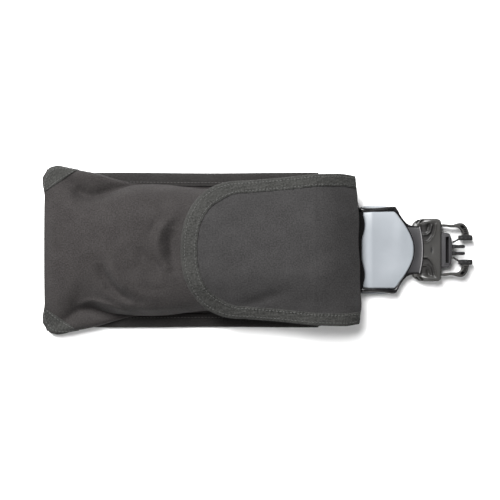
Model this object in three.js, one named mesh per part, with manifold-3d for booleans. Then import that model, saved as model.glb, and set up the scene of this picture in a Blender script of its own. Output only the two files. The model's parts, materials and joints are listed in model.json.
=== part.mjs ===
// Diver's quick-release weight pocket, in millimetres.
// +X runs along the pocket towards the buckle, +Y across it, +Z up from its back panel, which lies on z = 0.
// The origin is under the middle of the length, from the far end of the pouch to the tips of the latch arms.
import * as THREE from "three";
import { mergeVertices } from "three/addons/utils/BufferGeometryUtils.js";
import Module from "manifold-3d";

const wasm = await Module();
wasm.setup();

// ---- Driving dimensions ----

const gap = 0.3; // kept between pieces that are sewn or pressed together
const layerGap = 0.5; // kept between layers that curve over one another
const cloth = 1.6; // a doubled, stitched layer of nylon
const tape = 1.0; // binding and hook-and-loop tape

const back = { left: -166, right: 70, halfWidth: 60.5, thickness: 2, corner: 8 };
const hem = { left: -150, right: 47, width: 10 };
const pouch = { left: -167, right: 70, halfWidth: 49.5, seamZ: back.thickness + gap, height: 33, crown: 5 };
const corner = { tipX: -169.5, tipY: 66.5, right: -121, thickness: 5 };
const patch = { left: -46, right: -6, halfWidth: 34 };
const weight = { length: 82, width: 72, height: 22, round: 24, innerX: -80, outerX: 4 };

const foldX = 75; // both fold lines of the flap lie above this one line
const flapRootZ = 12.5;
const flapTop = { left: -61, shoulder: -14, halfWidth: 59, shoulderHalfWidth: 53.5, lift: 3.7 };
const bindingWidth = 9.5;

const handleZ = 6.2; // middle plane of the handle and the buckle
const pivotX = 73.5;
const pivotBar = { radius: 2.2, halfLength: 31 };
const webbing = { halfWidth: 26, thickness: 1.3, tail: 47 };
const frame = { left: 71, thickness: 9, forkInner: 28.4, forkDepth: 7.2, forkTop: 9.2 };
const neck = { left: 124, right: 128.5, halfWidth: 18.5, bulge: 4.5, bottomZ: 3, topZ: 11.4 };
const gripRise = 6; // from the middle plane to each face of the grip
const slider = { left: 126, right: 143.2, halfWidth: 12, thickness: 3.6 };
const head = { left: 143.5, right: 153.2, halfWidth: 13.6, thickness: 7, noseHalfWidth: 4 };
const slot = { left: 148.1, right: 150.5, halfLength: 10.3, depth: 4.2 };
const pin = { radius: 1.15, y: 2.7, left: 153.5, right: 163.5 };
const buckle = { left: 121.7, right: 144.5, thickness: 10 };
const arm = { pivotX: 142.4, pivotY: 19.1, knuckle: 2, width: 2.2, height: 6.4, tipX: 169.5 };
const paddle = { left: 158.5, right: 166.3, innerY: 16, footLeft: 158.6, footLow: 7.6, footHigh: 11.1 };

// Half outlines, as distance along X from the left of the piece, then distance from its middle line.
const frameSide = [
  [0, 31.6],
  [9.5, 33.6],
  [16.2, 33.1],
  [24.6, 33.4],
  [36, 34.4],
  [38.1, 33.4],
  [41, 27.2],
  [46.6, 20.9],
  [53, 18.8],
];
const gripSide = [
  [0, 0],
  [0.2, 9],
  [1, 12],
  [1.9, 15],
  [2.4, 19.7],
  [1.9, 24],
  [0.6, 28.9],
  [7.9, 28.6],
  [15.4, 28.8],
  [21.3, 29.7],
  [24.9, 30.1],
  [27.5, 28.6],
  [30.4, 24.6],
  [34.2, 19.4],
  [37.5, 14],
  [39.7, 9],
  [40.9, 4.8],
  [41.2, 0],
];
const gripLeft = 81.4;
const buckleSide = [
  [0, 20.2],
  [4.5, 23.6],
  [9.8, 24.2],
  [18.3, 24.8],
  [21.4, 24],
  [22.8, 21.8],
];
// The strut's corners, as X and Y.
const strutCorners = [
  [154, 5.6],
  [158.3, 8.9],
  [158.3, 10.2],
  [153.6, 6.5],
];
const strutHalfHeight = 2.2;

const FABRIC_SEGMENTS = 24;
const ROUND_SEGMENTS = 24;

// ---- Materials ----

function finish(color, roughness, metalness = 0) {
  return new THREE.MeshStandardMaterial({ color, roughness, metalness });
}

const nylon = finish(0x4f4b4c, 0.9);
const darkNylon = finish(0x3a3839, 0.85);
const bindingTape = finish(0x474844, 0.92);
const hookLoop = finish(0x242425, 0.98);
const blackPlastic = finish(0x2b2b2c, 0.38);
const greyGrip = finish(0xb9bfc4, 0.45);
const lead = finish(0x6d6f72, 0.55, 0.9);

// ---- Tools ----

const clamp01 = (t) => Math.min(1, Math.max(0, t));
const smooth = (t) => clamp01(t) ** 2 * (3 - 2 * clamp01(t));
const range = (n) => Array.from({ length: n }, (_, i) => i);

// A sheet of cloth: a flat box whose two faces are moved to under(u, v) and over(u, v), u and v from 0 to 1.
function sheet(uSegments, vSegments, under, over) {
  const geometry = new THREE.BoxGeometry(1, 1, 1, uSegments, vSegments, 1);
  const position = geometry.getAttribute("position");
  for (const i of range(position.count)) {
    const [u, v] = [position.getX(i) + 0.5, position.getY(i) + 0.5];
    const point = position.getZ(i) > 0 ? over(u, v) : under(u, v);
    position.setXYZ(i, point.x, point.y, point.z);
  }
  return geometry;
}

// A sheet over the XY plane: place(u, v) gives x and y, height(x, y) its lower face.
function layer(uSegments, vSegments, place, height, thickness) {
  const lift = (rise) => (u, v) => {
    const p = place(u, v);
    return new THREE.Vector3(p.x, p.y, height(p.x, p.y) + rise);
  };
  return sheet(uSegments, vSegments, lift(0), lift(thickness));
}

function plate(shape, bottomZ, topZ, bevel = 0, curveSegments = 10) {
  const geometry = new THREE.ExtrudeGeometry(shape, {
    depth: topZ - bottomZ - 2 * bevel,
    bevelEnabled: bevel > 0,
    bevelThickness: bevel,
    bevelSize: bevel,
    bevelOffset: -bevel,
    bevelSegments: 2,
    curveSegments,
  });
  return geometry.translate(0, 0, bottomZ + bevel);
}

// An outline drawn in the XZ plane, given its depth along Y, centred on y = 0.
function acrossY(shape, halfLength) {
  const geometry = new THREE.ExtrudeGeometry(shape, {
    depth: 2 * halfLength,
    bevelEnabled: false,
    curveSegments: 12,
  });
  return geometry.rotateX(Math.PI / 2).translate(0, halfLength, 0);
}

function block(x0, x1, halfY, z0, z1) {
  const geometry = new THREE.BoxGeometry(x1 - x0, 2 * halfY, z1 - z0);
  return geometry.translate((x0 + x1) / 2, 0, (z0 + z1) / 2);
}

function rod(radius, from, to, segments = ROUND_SEGMENTS) {
  const a = new THREE.Vector3(...from);
  const along = new THREE.Vector3(...to).sub(a);
  const geometry = new THREE.CylinderGeometry(radius, radius, along.length(), segments);
  const turn = new THREE.Quaternion().setFromUnitVectors(
    new THREE.Vector3(0, 1, 0),
    along.clone().normalize(),
  );
  return geometry.applyQuaternion(turn).translate(...a.addScaledVector(along, 0.5).toArray());
}

function solid(geometry) {
  const bare = new THREE.BufferGeometry();
  const flat = geometry.index ? geometry.toNonIndexed() : geometry;
  bare.setAttribute("position", flat.getAttribute("position"));
  const merged = mergeVertices(bare, 1e-3);
  return new wasm.Manifold(
    new wasm.Mesh({
      numProp: 3,
      vertProperties: new Float32Array(merged.getAttribute("position").array),
      triVerts: new Uint32Array(merged.index.array),
    }),
  );
}

function geometryOf(manifold) {
  const { numProp, numVert, vertProperties, triVerts } = manifold.getMesh();
  const points = new Float32Array(numVert * 3);
  for (const i of range(numVert)) {
    points.set(vertProperties.subarray(i * numProp, i * numProp + 3), 3 * i);
  }
  const geometry = new THREE.BufferGeometry();
  geometry.setAttribute("position", new THREE.BufferAttribute(points, 3));
  geometry.setIndex(new THREE.BufferAttribute(triVerts, 1));
  return geometry;
}

function joined(...geometries) {
  return geometries.map(solid).reduce((a, b) => a.add(b));
}

function cut(from, ...tools) {
  return tools.reduce((rest, tool) => rest.subtract(solid(tool)), from);
}

const part = new THREE.Group();

function add(name, geometry, material, side = 1) {
  const mesh = new THREE.Mesh(geometry, material);
  mesh.name = name;
  mesh.scale.y = side;
  part.add(mesh);
}

// A closed, counter-clockwise outline from its half on the +Y side, which is given from left to right.
function mirrored(side, left) {
  const lower = side.map(([x, y]) => new THREE.Vector2(left + x, -y));
  const upper = side.toReversed().map(([x, y]) => new THREE.Vector2(left + x, y));
  return [...lower, ...upper.filter((p) => p.y > 0)];
}

// A counter-clockwise outline moved outwards by a distance.
function outset(points, distance) {
  return points.map((point, i) => {
    const before = point.clone().sub(points.at(i - 1)).normalize();
    const after = points[(i + 1) % points.length].clone().sub(point).normalize();
    const along = before.clone().add(after).normalize();
    const reach = distance / along.dot(before);
    return new THREE.Vector2(point.x + along.y * reach, point.y - along.x * reach);
  });
}

// The same piece on both long sides: upper is towards +Y, and lower is its mirror image.
function addPair(name, geometry, material) {
  add(`upper_${name}`, geometry, material);
  add(`lower_${name}`, geometry, material, -1);
}

// ---- Pouch ----

// Lower face of the front panel: crowned across, level at the mouth and falling away at the closed end.
function frontHeight(x, y) {
  const crown = pouch.crown * (1 - smooth((x - 25) / 40));
  const towardsEnd = clamp01((-60 - x) / (-60 - pouch.left));
  const fall = 4 * smooth(towardsEnd) + 13 * towardsEnd ** 6;
  return pouch.height - cloth - fall - crown * (y / pouch.halfWidth) ** 2;
}

function backPanel() {
  const { left, right, halfWidth, corner: round } = back;
  const shape = new THREE.Shape();
  shape.moveTo(left, halfWidth - round);
  shape.quadraticCurveTo(left, halfWidth, left + round, halfWidth);
  shape.lineTo(hem.right, halfWidth);
  shape.lineTo(hem.right + 10, halfWidth - 3);
  shape.lineTo(right, halfWidth - 3);
  shape.lineTo(right, 3 - halfWidth);
  shape.lineTo(hem.right + 10, 3 - halfWidth);
  shape.lineTo(hem.right, -halfWidth);
  shape.lineTo(left + round, -halfWidth);
  shape.quadraticCurveTo(left, -halfWidth, left, round - halfWidth);
  return plate(shape, 0, back.thickness);
}

function upperHem() {
  const inner = back.halfWidth - hem.width;
  const place = (u, v) => ({
    x: THREE.MathUtils.lerp(hem.left, hem.right, u),
    y: THREE.MathUtils.lerp(inner, back.halfWidth, v),
  });
  return layer(4, 2, place, () => back.thickness + gap, tape);
}

function frontPanel() {
  const place = (u, v) => ({
    x: THREE.MathUtils.lerp(pouch.left, pouch.right, u),
    y: THREE.MathUtils.lerp(-pouch.halfWidth, pouch.halfWidth, v),
  });
  return layer(FABRIC_SEGMENTS, 8, place, frontHeight, cloth);
}

// The side wall stands on the back panel and stops under the front panel.
function upperGusset() {
  const y = pouch.halfWidth - cloth;
  const at = (offset) => (u, v) => {
    const x = THREE.MathUtils.lerp(pouch.left, pouch.right, u);
    const top = frontHeight(x, pouch.halfWidth) - gap;
    return new THREE.Vector3(x, y + offset, THREE.MathUtils.lerp(pouch.seamZ, top, v));
  };
  return sheet(FABRIC_SEGMENTS, 1, at(cloth), at(0));
}

function endGusset() {
  const halfY = pouch.halfWidth - cloth - gap;
  const top = frontHeight(pouch.left, pouch.halfWidth) - gap;
  return block(pouch.left, pouch.left + cloth, halfY, pouch.seamZ, top);
}

// The loose corner beyond the filled part of the pouch, with the tape that closes it.
function upperCornerPatch() {
  const shape = new THREE.Shape();
  const root = pouch.halfWidth + gap;
  shape.moveTo(corner.tipX + 1.5, root);
  shape.lineTo(corner.tipX, corner.tipY - 9);
  shape.quadraticCurveTo(corner.tipX + 1, corner.tipY - 2.5, corner.tipX + 9.5, corner.tipY - 0.5);
  shape.quadraticCurveTo(corner.tipX + 14.5, corner.tipY + 0.7, corner.tipX + 19.5, corner.tipY - 1.3);
  shape.lineTo(corner.right - 7, back.halfWidth + 0.1);
  shape.lineTo(corner.right, root);
  const bottom = back.thickness + tape + 2 * gap;
  return plate(shape, bottom, bottom + corner.thickness, 1);
}

function mouthBinding() {
  const place = (u, v) => ({
    x: THREE.MathUtils.lerp(pouch.right - 7, pouch.right, u),
    y: THREE.MathUtils.lerp(2 - pouch.halfWidth, pouch.halfWidth - 2, v),
  });
  return layer(3, 8, place, (x, y) => frontHeight(x, y) + cloth + layerGap, tape);
}

function patchOn(height) {
  const place = (u, v) => ({
    x: THREE.MathUtils.lerp(patch.left, patch.right, u),
    y: THREE.MathUtils.lerp(-patch.halfWidth, patch.halfWidth, v),
  });
  return layer(3, 8, place, height, tape);
}

// A block of lead with well-rounded corners, as made for pouches.
function leadWeight(x) {
  const [a, b, r] = [weight.length / 2, weight.width / 2, weight.round];
  const shape = new THREE.Shape();
  shape.moveTo(-a, b - r);
  for (const [sx, sy, start] of [[-1, -1, 2], [1, -1, 3], [1, 1, 0], [-1, 1, 1]]) {
    shape.absarc(sx * (a - r), sy * (b - r), r, (start * Math.PI) / 2, ((start + 1) * Math.PI) / 2);
  }
  const bottom = back.thickness + gap + tape;
  return plate(shape, bottom, bottom + weight.height, 2, 8).translate(x, 0, 0);
}

// ---- Webbing that holds the handle's pivot bar ----

function pivotWebbing() {
  const inner = pivotBar.radius + gap;
  const outer = inner + webbing.thickness;
  const shape = new THREE.Shape();
  const low = handleZ - outer;
  const top = low + 2 * webbing.thickness;
  shape.moveTo(webbing.tail, low);
  shape.lineTo(pivotX, low);
  shape.absarc(pivotX, handleZ, outer, -Math.PI / 2, 0.75 * Math.PI);
  shape.lineTo(pivotX - 9, top);
  shape.lineTo(webbing.tail, top);
  const eye = new THREE.Path();
  eye.absarc(pivotX, handleZ, inner, 0, 2 * Math.PI, true);
  shape.holes.push(eye);
  return acrossY(shape, webbing.halfWidth);
}

// The fixed root of the flap: sewn down over the webbing, then rising to the first fold line.
function flapBase() {
  const line = new THREE.CatmullRomCurve3([
    new THREE.Vector3(webbing.tail, 0, 5.7),
    new THREE.Vector3(pivotX - 11, 0, 6.1),
    new THREE.Vector3(pivotX - 5, 0, 10.3),
    new THREE.Vector3(foldX - 1.4, 0, flapRootZ - 0.9),
  ]);
  const at = (rise) => (u, v) => {
    const p = line.getPoint(u);
    const side = THREE.MathUtils.lerp(-1, 1, v) * (pouch.halfWidth - cloth - 2 * gap);
    return new THREE.Vector3(p.x - rise * 0.5, side, p.z + rise);
  };
  return sheet(12, 1, at(0), at(1.2));
}

// ---- Flap ----

const flapHeight = (x, y) => frontHeight(x, y) + cloth + flapTop.lift;
const foldZ = flapHeight(foldX, 0) + cloth / 2;

// Half of the flap's width: a slight taper, then a rounded end.
function flapHalfWidth(x) {
  if (x >= flapTop.shoulder) {
    const share = (foldX - x) / (foldX - flapTop.shoulder);
    return THREE.MathUtils.lerp(flapTop.halfWidth, flapTop.shoulderHalfWidth, smooth(share));
  }
  const power = 2.35;
  const share = (flapTop.shoulder - x) / (flapTop.shoulder - flapTop.left);
  return flapTop.shoulderHalfWidth * (1 - clamp01(share) ** power) ** (1 / power);
}

// Runs of x closer together where the end is round.
const flapX = (u, right) => {
  const start = flapTop.left;
  return start + (right - start) * u ** 1.7;
};

function hingeStrip() {
  const bulge = 3.2;
  const at = (offset) => (u, v) => {
    const z = THREE.MathUtils.lerp(flapRootZ + 1.2, foldZ - 1.4, u);
    const y = THREE.MathUtils.lerp(-1, 1, v) * (flapTop.halfWidth - 1.5);
    return new THREE.Vector3(foldX + bulge * Math.sin(Math.PI * u) + offset, y, z);
  };
  return sheet(8, 2, at(cloth / 2), at(-cloth / 2));
}

function flapPanel() {
  const right = foldX - 1.4;
  const place = (u, v) => {
    const x = flapX(Math.max(u, 0.004), right);
    return { x, y: THREE.MathUtils.lerp(-1, 1, v) * (flapHalfWidth(x) - 0.6) };
  };
  return layer(20, 12, place, flapHeight, cloth);
}

// The outer edge of the flap at a share t of the way round it, and the edge of the binding inside it.
function flapEdge(t, inset) {
  const right = foldX - 1.4;
  const side = t < 0.5 ? -1 : 1;
  const x = flapX(Math.abs(2 * t - 1), right);
  const here = new THREE.Vector2(x, side * flapHalfWidth(x));
  const step = 0.02;
  const ahead = flapHalfWidth(Math.min(x + step, right));
  const behind = flapHalfWidth(Math.max(x - step, flapTop.left));
  const slope = new THREE.Vector2(ahead - behind, -2 * step).normalize();
  return here.add(new THREE.Vector2(slope.x, side * slope.y).multiplyScalar(inset));
}

function flapBinding() {
  const place = (u, v) => flapEdge(u, THREE.MathUtils.lerp(bindingWidth, 0.2, v));
  return layer(36, 1, place, (x, y) => flapHeight(x, y) + cloth + layerGap, tape);
}

// ---- Handle ----

// The frame, from its fork round the crossbar, along the two rails, to the neck that goes into the buckle.
function frameOutline() {
  const { right, halfWidth, bulge } = neck;
  const [start, ...side] = frameSide.map(([x, y]) => [frame.left + x, y]);
  const shape = new THREE.Shape();
  shape.moveTo(start[0], -start[1]);
  for (const [x, y] of side) shape.lineTo(x, -y);
  shape.lineTo(right, -halfWidth);
  shape.quadraticCurveTo(right + bulge, 0, right, halfWidth);
  for (const [x, y] of side.toReversed()) shape.lineTo(x, y);
  shape.lineTo(...start);
  return shape;
}

// The grip fills the frame: waved at the pouch end, straight along the rails and rounded towards the neck.
function gripOutline(distance) {
  return new THREE.Shape(outset(mirrored(gripSide, gripLeft), distance));
}

// The raised end of the neck, which shows as a lip on top of the buckle.
function neckOutline() {
  const { left, right, halfWidth, bulge } = neck;
  const shape = new THREE.Shape();
  shape.moveTo(left, -halfWidth);
  shape.lineTo(right, -halfWidth);
  shape.quadraticCurveTo(right + bulge, 0, right, halfWidth);
  shape.lineTo(left, halfWidth);
  return shape;
}

function sliderBar(clearance, extra = 0) {
  const half = slider.thickness / 2 + clearance;
  const halfY = slider.halfWidth + clearance;
  return block(slider.left - clearance, slider.right + extra, halfY, handleZ - half, handleZ + half);
}

function handleFrame() {
  const half = frame.thickness / 2;
  const forkEnd = frame.left + frame.forkDepth;
  const body = solid(plate(frameOutline(), handleZ - half, handleZ + half, 1));
  const { radius, halfLength } = pivotBar;
  const bar = rod(radius, [pivotX, -halfLength, handleZ], [pivotX, halfLength, handleZ]);
  const opened = cut(
    body,
    plate(gripOutline(gap), -5, 20),
    block(frame.left - 5, forkEnd, frame.forkInner, -5, 20),
    block(frame.left - 5, forkEnd, 40, frame.forkTop, 20),
    block(neck.left - 4, neck.right + 5, 40, -5, neck.bottomZ),
  );
  const raised = solid(plate(neckOutline(), handleZ, neck.topZ, 0.6));
  return geometryOf(cut(opened.add(solid(bar)).add(raised), sliderBar(gap, 5)));
}

// Each half of the grip reaches from the middle plane of the frame to just proud of one of its faces.
function gripHalf(side) {
  const [inner, outer] = [handleZ + (side * gap) / 2, handleZ + side * gripRise];
  return plate(gripOutline(0), Math.min(inner, outer), Math.max(inner, outer), 1);
}

// ---- Release slider, which runs through the buckle ----

// Its plate has a rounded nose and a blind slot across it.
function sliderHead() {
  const { left, right, halfWidth, thickness, noseHalfWidth } = head;
  const side = [
    [0, halfWidth],
    [right - left - 4, halfWidth],
    [right - left - 1.7, halfWidth - 2.6],
    [right - left - 0.8, 7],
    [right - left, noseHalfWidth],
  ];
  const top = handleZ + thickness / 2;
  const body = plate(new THREE.Shape(mirrored(side, left)), top - thickness, top, 0.5);
  const pocket = block(slot.left, slot.right, slot.halfLength, top - slot.depth, top + 5);
  return geometryOf(cut(solid(body), pocket));
}

function guidePin() {
  return rod(pin.radius, [pin.left, pin.y, handleZ], [pin.right, pin.y, handleZ], 16);
}

// ---- Buckle ----

// A shallow scoop for a fingertip beside the neck.
function fingerScoop(y) {
  return rod(8, [buckle.left + 12, y, handleZ + 11], [buckle.left + 16, y * 1.35, handleZ + 11]);
}

function buckleBody() {
  const half = buckle.thickness / 2;
  const outline = new THREE.Shape(mirrored(buckleSide, buckle.left));
  const body = solid(plate(outline, handleZ - half, handleZ + half, 1));
  const headHalf = head.thickness / 2 + 0.4;
  const armHalf = arm.height / 2 + 0.4;
  const tools = [
    block(buckle.left - 5, neck.left, neck.halfWidth + 1.4, -5, 20),
    block(buckle.left - 5, neck.right + neck.bulge / 2 + 0.7, neck.halfWidth + 0.6, neck.bottomZ - 0.4, 20),
    block(head.left - 3, buckle.right + 5, head.halfWidth + 0.4, handleZ - headHalf, handleZ + headHalf),
    sliderBar(0.45, 30),
    fingerScoop(14),
    fingerScoop(-14),
  ];
  for (const side of [-1, 1]) {
    const y = side * arm.pivotY;
    const [low, high] = [handleZ - armHalf, handleZ + armHalf];
    tools.push(rod(arm.knuckle + 0.4, [arm.pivotX, y, low], [arm.pivotX, y, high]));
    tools.push(block(arm.pivotX, buckle.right + 5, 2.2, low, high).translate(0, y, 0));
    for (const x of [buckle.left + 5, buckle.left + 7.6]) {
      tools.push(block(x, x + 1.3, 2, handleZ + 0.5, handleZ + 3.6).translate(0, side * 25, 0));
    }
  }
  return geometryOf(cut(body, ...tools));
}

// The +Y latch arm: a straight spring leg, then a paddle that curves in to a crosswise foot.
function latchArm() {
  const [y, w] = [arm.pivotY, arm.width / 2];
  const { left, right, innerY, footLeft, footLow, footHigh } = paddle;
  const shape = new THREE.Shape();
  shape.moveTo(arm.pivotX, y - w);
  shape.lineTo(left, y - w - 0.3);
  shape.quadraticCurveTo(left + 2.2, innerY, left + 2.7, footHigh);
  shape.lineTo(footLeft, footHigh);
  shape.lineTo(footLeft, footLow);
  shape.lineTo(arm.tipX, footLow - 0.2);
  shape.lineTo(arm.tipX, footHigh - 0.3);
  shape.lineTo(right, footHigh);
  shape.quadraticCurveTo(right - 0.9, y + w, left + 1, y + w + 0.5);
  shape.lineTo(arm.pivotX, y + w);
  const [low, high] = [handleZ - arm.height / 2, handleZ + arm.height / 2];
  const knuckle = rod(arm.knuckle, [arm.pivotX, y, low], [arm.pivotX, y, high]);
  return geometryOf(joined(plate(shape, low, high), knuckle));
}

// The thin strip that draws the arm inwards when the slider is pulled back.
function strut() {
  const shape = new THREE.Shape(strutCorners.map(([x, y]) => new THREE.Vector2(x, y)));
  return plate(shape, handleZ - strutHalfHeight, handleZ + strutHalfHeight);
}

// ---- Assembly ----

add("back_panel", backPanel(), darkNylon);
addPair("hem", upperHem(), darkNylon);
add("front_panel", frontPanel(), nylon);
addPair("gusset", upperGusset(), nylon);
add("end_gusset", endGusset(), nylon);
addPair("corner_patch", upperCornerPatch(), bindingTape);
add("mouth_binding", mouthBinding(), bindingTape);
add("loop_patch", patchOn((x, y) => frontHeight(x, y) + cloth + layerGap), hookLoop);
add("lead_weight_inner", leadWeight(weight.innerX), lead);
add("lead_weight_outer", leadWeight(weight.outerX), lead);
add("pivot_webbing", pivotWebbing(), darkNylon);
add("flap_base", flapBase(), nylon);

add("flap_hinge_strip", hingeStrip(), nylon);
add("flap_panel", flapPanel(), nylon);
add("flap_binding", flapBinding(), bindingTape);
add("hook_patch", patchOn((x, y) => flapHeight(x, y) - layerGap - tape), hookLoop);

add("handle_frame", handleFrame(), blackPlastic);
add("front_grip", gripHalf(1), greyGrip);
add("back_grip", gripHalf(-1), greyGrip);
add("slider_bar", sliderBar(0), blackPlastic);
add("slider_head", sliderHead(), blackPlastic);
addPair("guide_pin", guidePin(), blackPlastic);

add("buckle_body", buckleBody(), blackPlastic);
addPair("latch_arm", latchArm(), blackPlastic);
addPair("strut", strut(), blackPlastic);

export default part;
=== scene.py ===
"""Looks of a diver's quick-release weight pocket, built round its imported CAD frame.

Lengths in this file are millimetres until they go into a mesh. +X runs towards the buckle, +Z up.
"""

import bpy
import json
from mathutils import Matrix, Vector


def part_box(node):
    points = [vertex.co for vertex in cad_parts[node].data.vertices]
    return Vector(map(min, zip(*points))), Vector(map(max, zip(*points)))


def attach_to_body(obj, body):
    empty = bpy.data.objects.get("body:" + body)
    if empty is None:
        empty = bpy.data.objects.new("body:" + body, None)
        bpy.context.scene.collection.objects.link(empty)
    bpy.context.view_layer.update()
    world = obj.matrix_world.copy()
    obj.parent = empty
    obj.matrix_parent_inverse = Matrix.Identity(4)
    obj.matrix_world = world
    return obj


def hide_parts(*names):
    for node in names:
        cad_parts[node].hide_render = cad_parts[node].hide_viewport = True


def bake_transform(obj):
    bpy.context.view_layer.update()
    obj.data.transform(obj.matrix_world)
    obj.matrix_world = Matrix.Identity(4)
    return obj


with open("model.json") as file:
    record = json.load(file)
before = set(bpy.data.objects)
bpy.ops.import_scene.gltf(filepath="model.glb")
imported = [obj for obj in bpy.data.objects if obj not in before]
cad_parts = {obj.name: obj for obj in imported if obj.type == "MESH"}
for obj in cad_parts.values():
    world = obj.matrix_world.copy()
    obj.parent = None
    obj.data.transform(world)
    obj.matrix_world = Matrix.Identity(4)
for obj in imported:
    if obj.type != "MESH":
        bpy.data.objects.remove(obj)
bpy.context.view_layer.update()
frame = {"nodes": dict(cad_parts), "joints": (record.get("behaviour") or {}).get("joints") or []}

import json
import math

import bmesh
import bpy
import numpy as np
from mathutils import Vector

MM = 0.001
RNG_SEED = 7


# ---- The frame's places, in millimetres ----

def box_mm(node):
    lo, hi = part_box(node)
    return np.array(lo) / MM, np.array(hi) / MM


JOINTS = {j["name"]: j for j in frame["joints"]}
FLAP_FOLD = np.array(JOINTS["flap_fold"]["pos_m"]) / MM
PIVOT = np.array(JOINTS["handle_pivot"]["pos_m"]) / MM

POUCH_HI = box_mm("front_panel")[1]
BACK_HI = box_mm("back_panel")[1]
CORNER_LO, CORNER_HI = box_mm("upper_corner_patch")
FLAP_LO, FLAP_HI = box_mm("flap_panel")
HEM_HI = box_mm("upper_hem")[1]
FRAME_LO, FRAME_HI = box_mm("handle_frame")
GRIP_LO, GRIP_HI = box_mm("front_grip")
BACK_GRIP_LO = box_mm("back_grip")[0]
BUCKLE_LO, BUCKLE_HI = box_mm("buckle_body")
HEAD_LO, HEAD_HI = box_mm("slider_head")
PIN_LO, PIN_HI = box_mm("upper_guide_pin")
ARM_LO, ARM_HI = box_mm("upper_latch_arm")
STRUT_LO, STRUT_HI = box_mm("upper_strut")

END_X = CORNER_LO[0]
MOUTH_X = POUCH_HI[0]
PANEL_Y = BACK_HI[1]
CORNER_Y = CORNER_HI[1]
TOP_Z = POUCH_HI[2]
PANEL_Z = BACK_HI[2]
HANDLE_Z = PIVOT[2]

SIDES = {1: "upper", -1: "lower"}
STITCH_PITCH = 2.7


# ---- Small tools ----

def smoothstep(t):
    t = np.clip(t, 0, 1)
    return t * t * (3 - 2 * t)


def bell(d, width):
    return np.exp(-((d / width) ** 2))


def shifted(start, *points):
    """The points moved along X by start."""
    return [(start + x, *rest) for x, *rest in points]


def mirrored(points, side):
    """The (x, y) points as they are for side 1, and across the middle for side -1."""
    return [(x, side * y) for x, y in points]


def flat_at(height):
    """A face at one height, as a function of the place in plan."""
    return lambda x, y: np.full(x.shape, height)


def walked(points):
    """The distance walked along the points up to each of them."""
    return np.concatenate([[0], np.cumsum(np.linalg.norm(np.diff(points, axis=0), axis=1))])


def unit(vectors):
    return vectors / np.linalg.norm(vectors, axis=-1)[..., None]


def profile(points, blur):
    """A smooth function through roughly these (position, value) points, rounded over about blur."""
    grid = np.arange(-220, 220, 0.5)
    xs, ys = zip(*points)
    raw = np.interp(grid, xs, ys)
    reach = np.arange(-4 * blur, 4 * blur + 0.25, 0.5)
    kernel = bell(reach, blur * 1.4)
    kernel /= kernel.sum()
    pad = len(kernel) // 2
    smooth = np.convolve(np.pad(raw, pad, mode="edge"), kernel, mode="valid")[: len(grid)]
    return lambda x: np.interp(x, grid, smooth)


def curve_through(points, count):
    """Points on a Catmull-Rom curve through the given ones, evenly spaced."""
    p = np.array(points, float)
    ext = np.vstack([2 * p[0] - p[1], p, 2 * p[-1] - p[-2]])
    out = []
    for i in range(1, len(ext) - 2):
        a, b, c, d = ext[i - 1], ext[i], ext[i + 1], ext[i + 2]
        for t in np.linspace(0, 1, 24, endpoint=False):
            out.append(0.5 * (2 * b + (c - a) * t + (2 * a - 5 * b + 4 * c - d) * t**2
                              + (3 * b - a - 3 * c + d) * t**3))
    out.append(p[-1])
    return evenly(np.array(out), count)


def evenly(points, count):
    s = walked(points)
    at = np.linspace(0, s[-1], count)
    return np.stack([np.interp(at, s, points[:, k]) for k in range(points.shape[1])], axis=1)


def rounded(corners, steps=5):
    """A closed outline from (x, y, radius) corners, each rounded by about its radius."""
    n, out = len(corners), []
    for i in range(n):
        a, b, c = (np.array(corners[(i + k) % n][:2], float) for k in (-1, 0, 1))
        r = corners[i][2]
        to_a, to_c = a - b, c - b
        la, lc = np.linalg.norm(to_a), np.linalg.norm(to_c)
        p, q = b + to_a / la * min(r, la * 0.48), b + to_c / lc * min(r, lc * 0.48)
        for t in np.linspace(0, 1, steps):
            out.append((1 - t) ** 2 * p + 2 * t * (1 - t) * b + t * t * q)
    return [tuple(v) for v in out]


def rounded_box(x0, x1, y0, y1, r0, r1, steps):
    """A rectangle's outline with corners of radius r0 at x0 and of radius r1 at x1."""
    return rounded([(x0, y0, r0), (x1, y0, r1), (x1, y1, r1), (x0, y1, r0)], steps)


def noise2(x, y, scale, seed):
    """Soft, repeatable waviness of about unit height and the given wavelength."""
    rng = np.random.default_rng(RNG_SEED + seed)
    total = np.zeros(np.broadcast(x, y).shape)
    for _ in range(9):
        angle, phase = rng.uniform(0, 2 * math.pi, 2)
        k = 2 * math.pi / (scale * rng.uniform(0.7, 1.5))
        total += np.sin(k * (x * math.cos(angle) + y * math.sin(angle)) + phase)
    return total / 3.2


def distance_to(x, y, line):
    """Each point's distance from a polyline, its side of the line and how far along it is, 0 to 1."""
    line = np.array(line, float)
    lengths = np.linalg.norm(np.diff(line, axis=0), axis=1)
    total, passed = lengths.sum(), 0.0
    best = np.full(x.shape, 1e9)
    side, along = np.zeros(x.shape), np.zeros(x.shape)
    for (ax, ay), (bx, by), length in zip(line[:-1], line[1:], lengths):
        dx, dy = (bx - ax) / length, (by - ay) / length
        t = np.clip((x - ax) * dx + (y - ay) * dy, 0, length)
        d = np.hypot(x - ax - t * dx, y - ay - t * dy)
        near = d < best
        best = np.where(near, d, best)
        side = np.where(near, np.sign(dx * (y - ay) - dy * (x - ax)), side)
        along = np.where(near, (passed + t) / total, along)
        passed += length
    return best, side, along


# ---- Meshes ----

def new_object(name, mesh):
    obj = bpy.data.objects.new(name, mesh)
    bpy.context.scene.collection.objects.link(obj)
    return obj


def rework(mesh, *steps):
    """Run the steps on the mesh in its editable form."""
    bm = bmesh.new()
    bm.from_mesh(mesh)
    for step in steps:
        step(bm)
    bm.to_mesh(mesh)
    bm.free()


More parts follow.
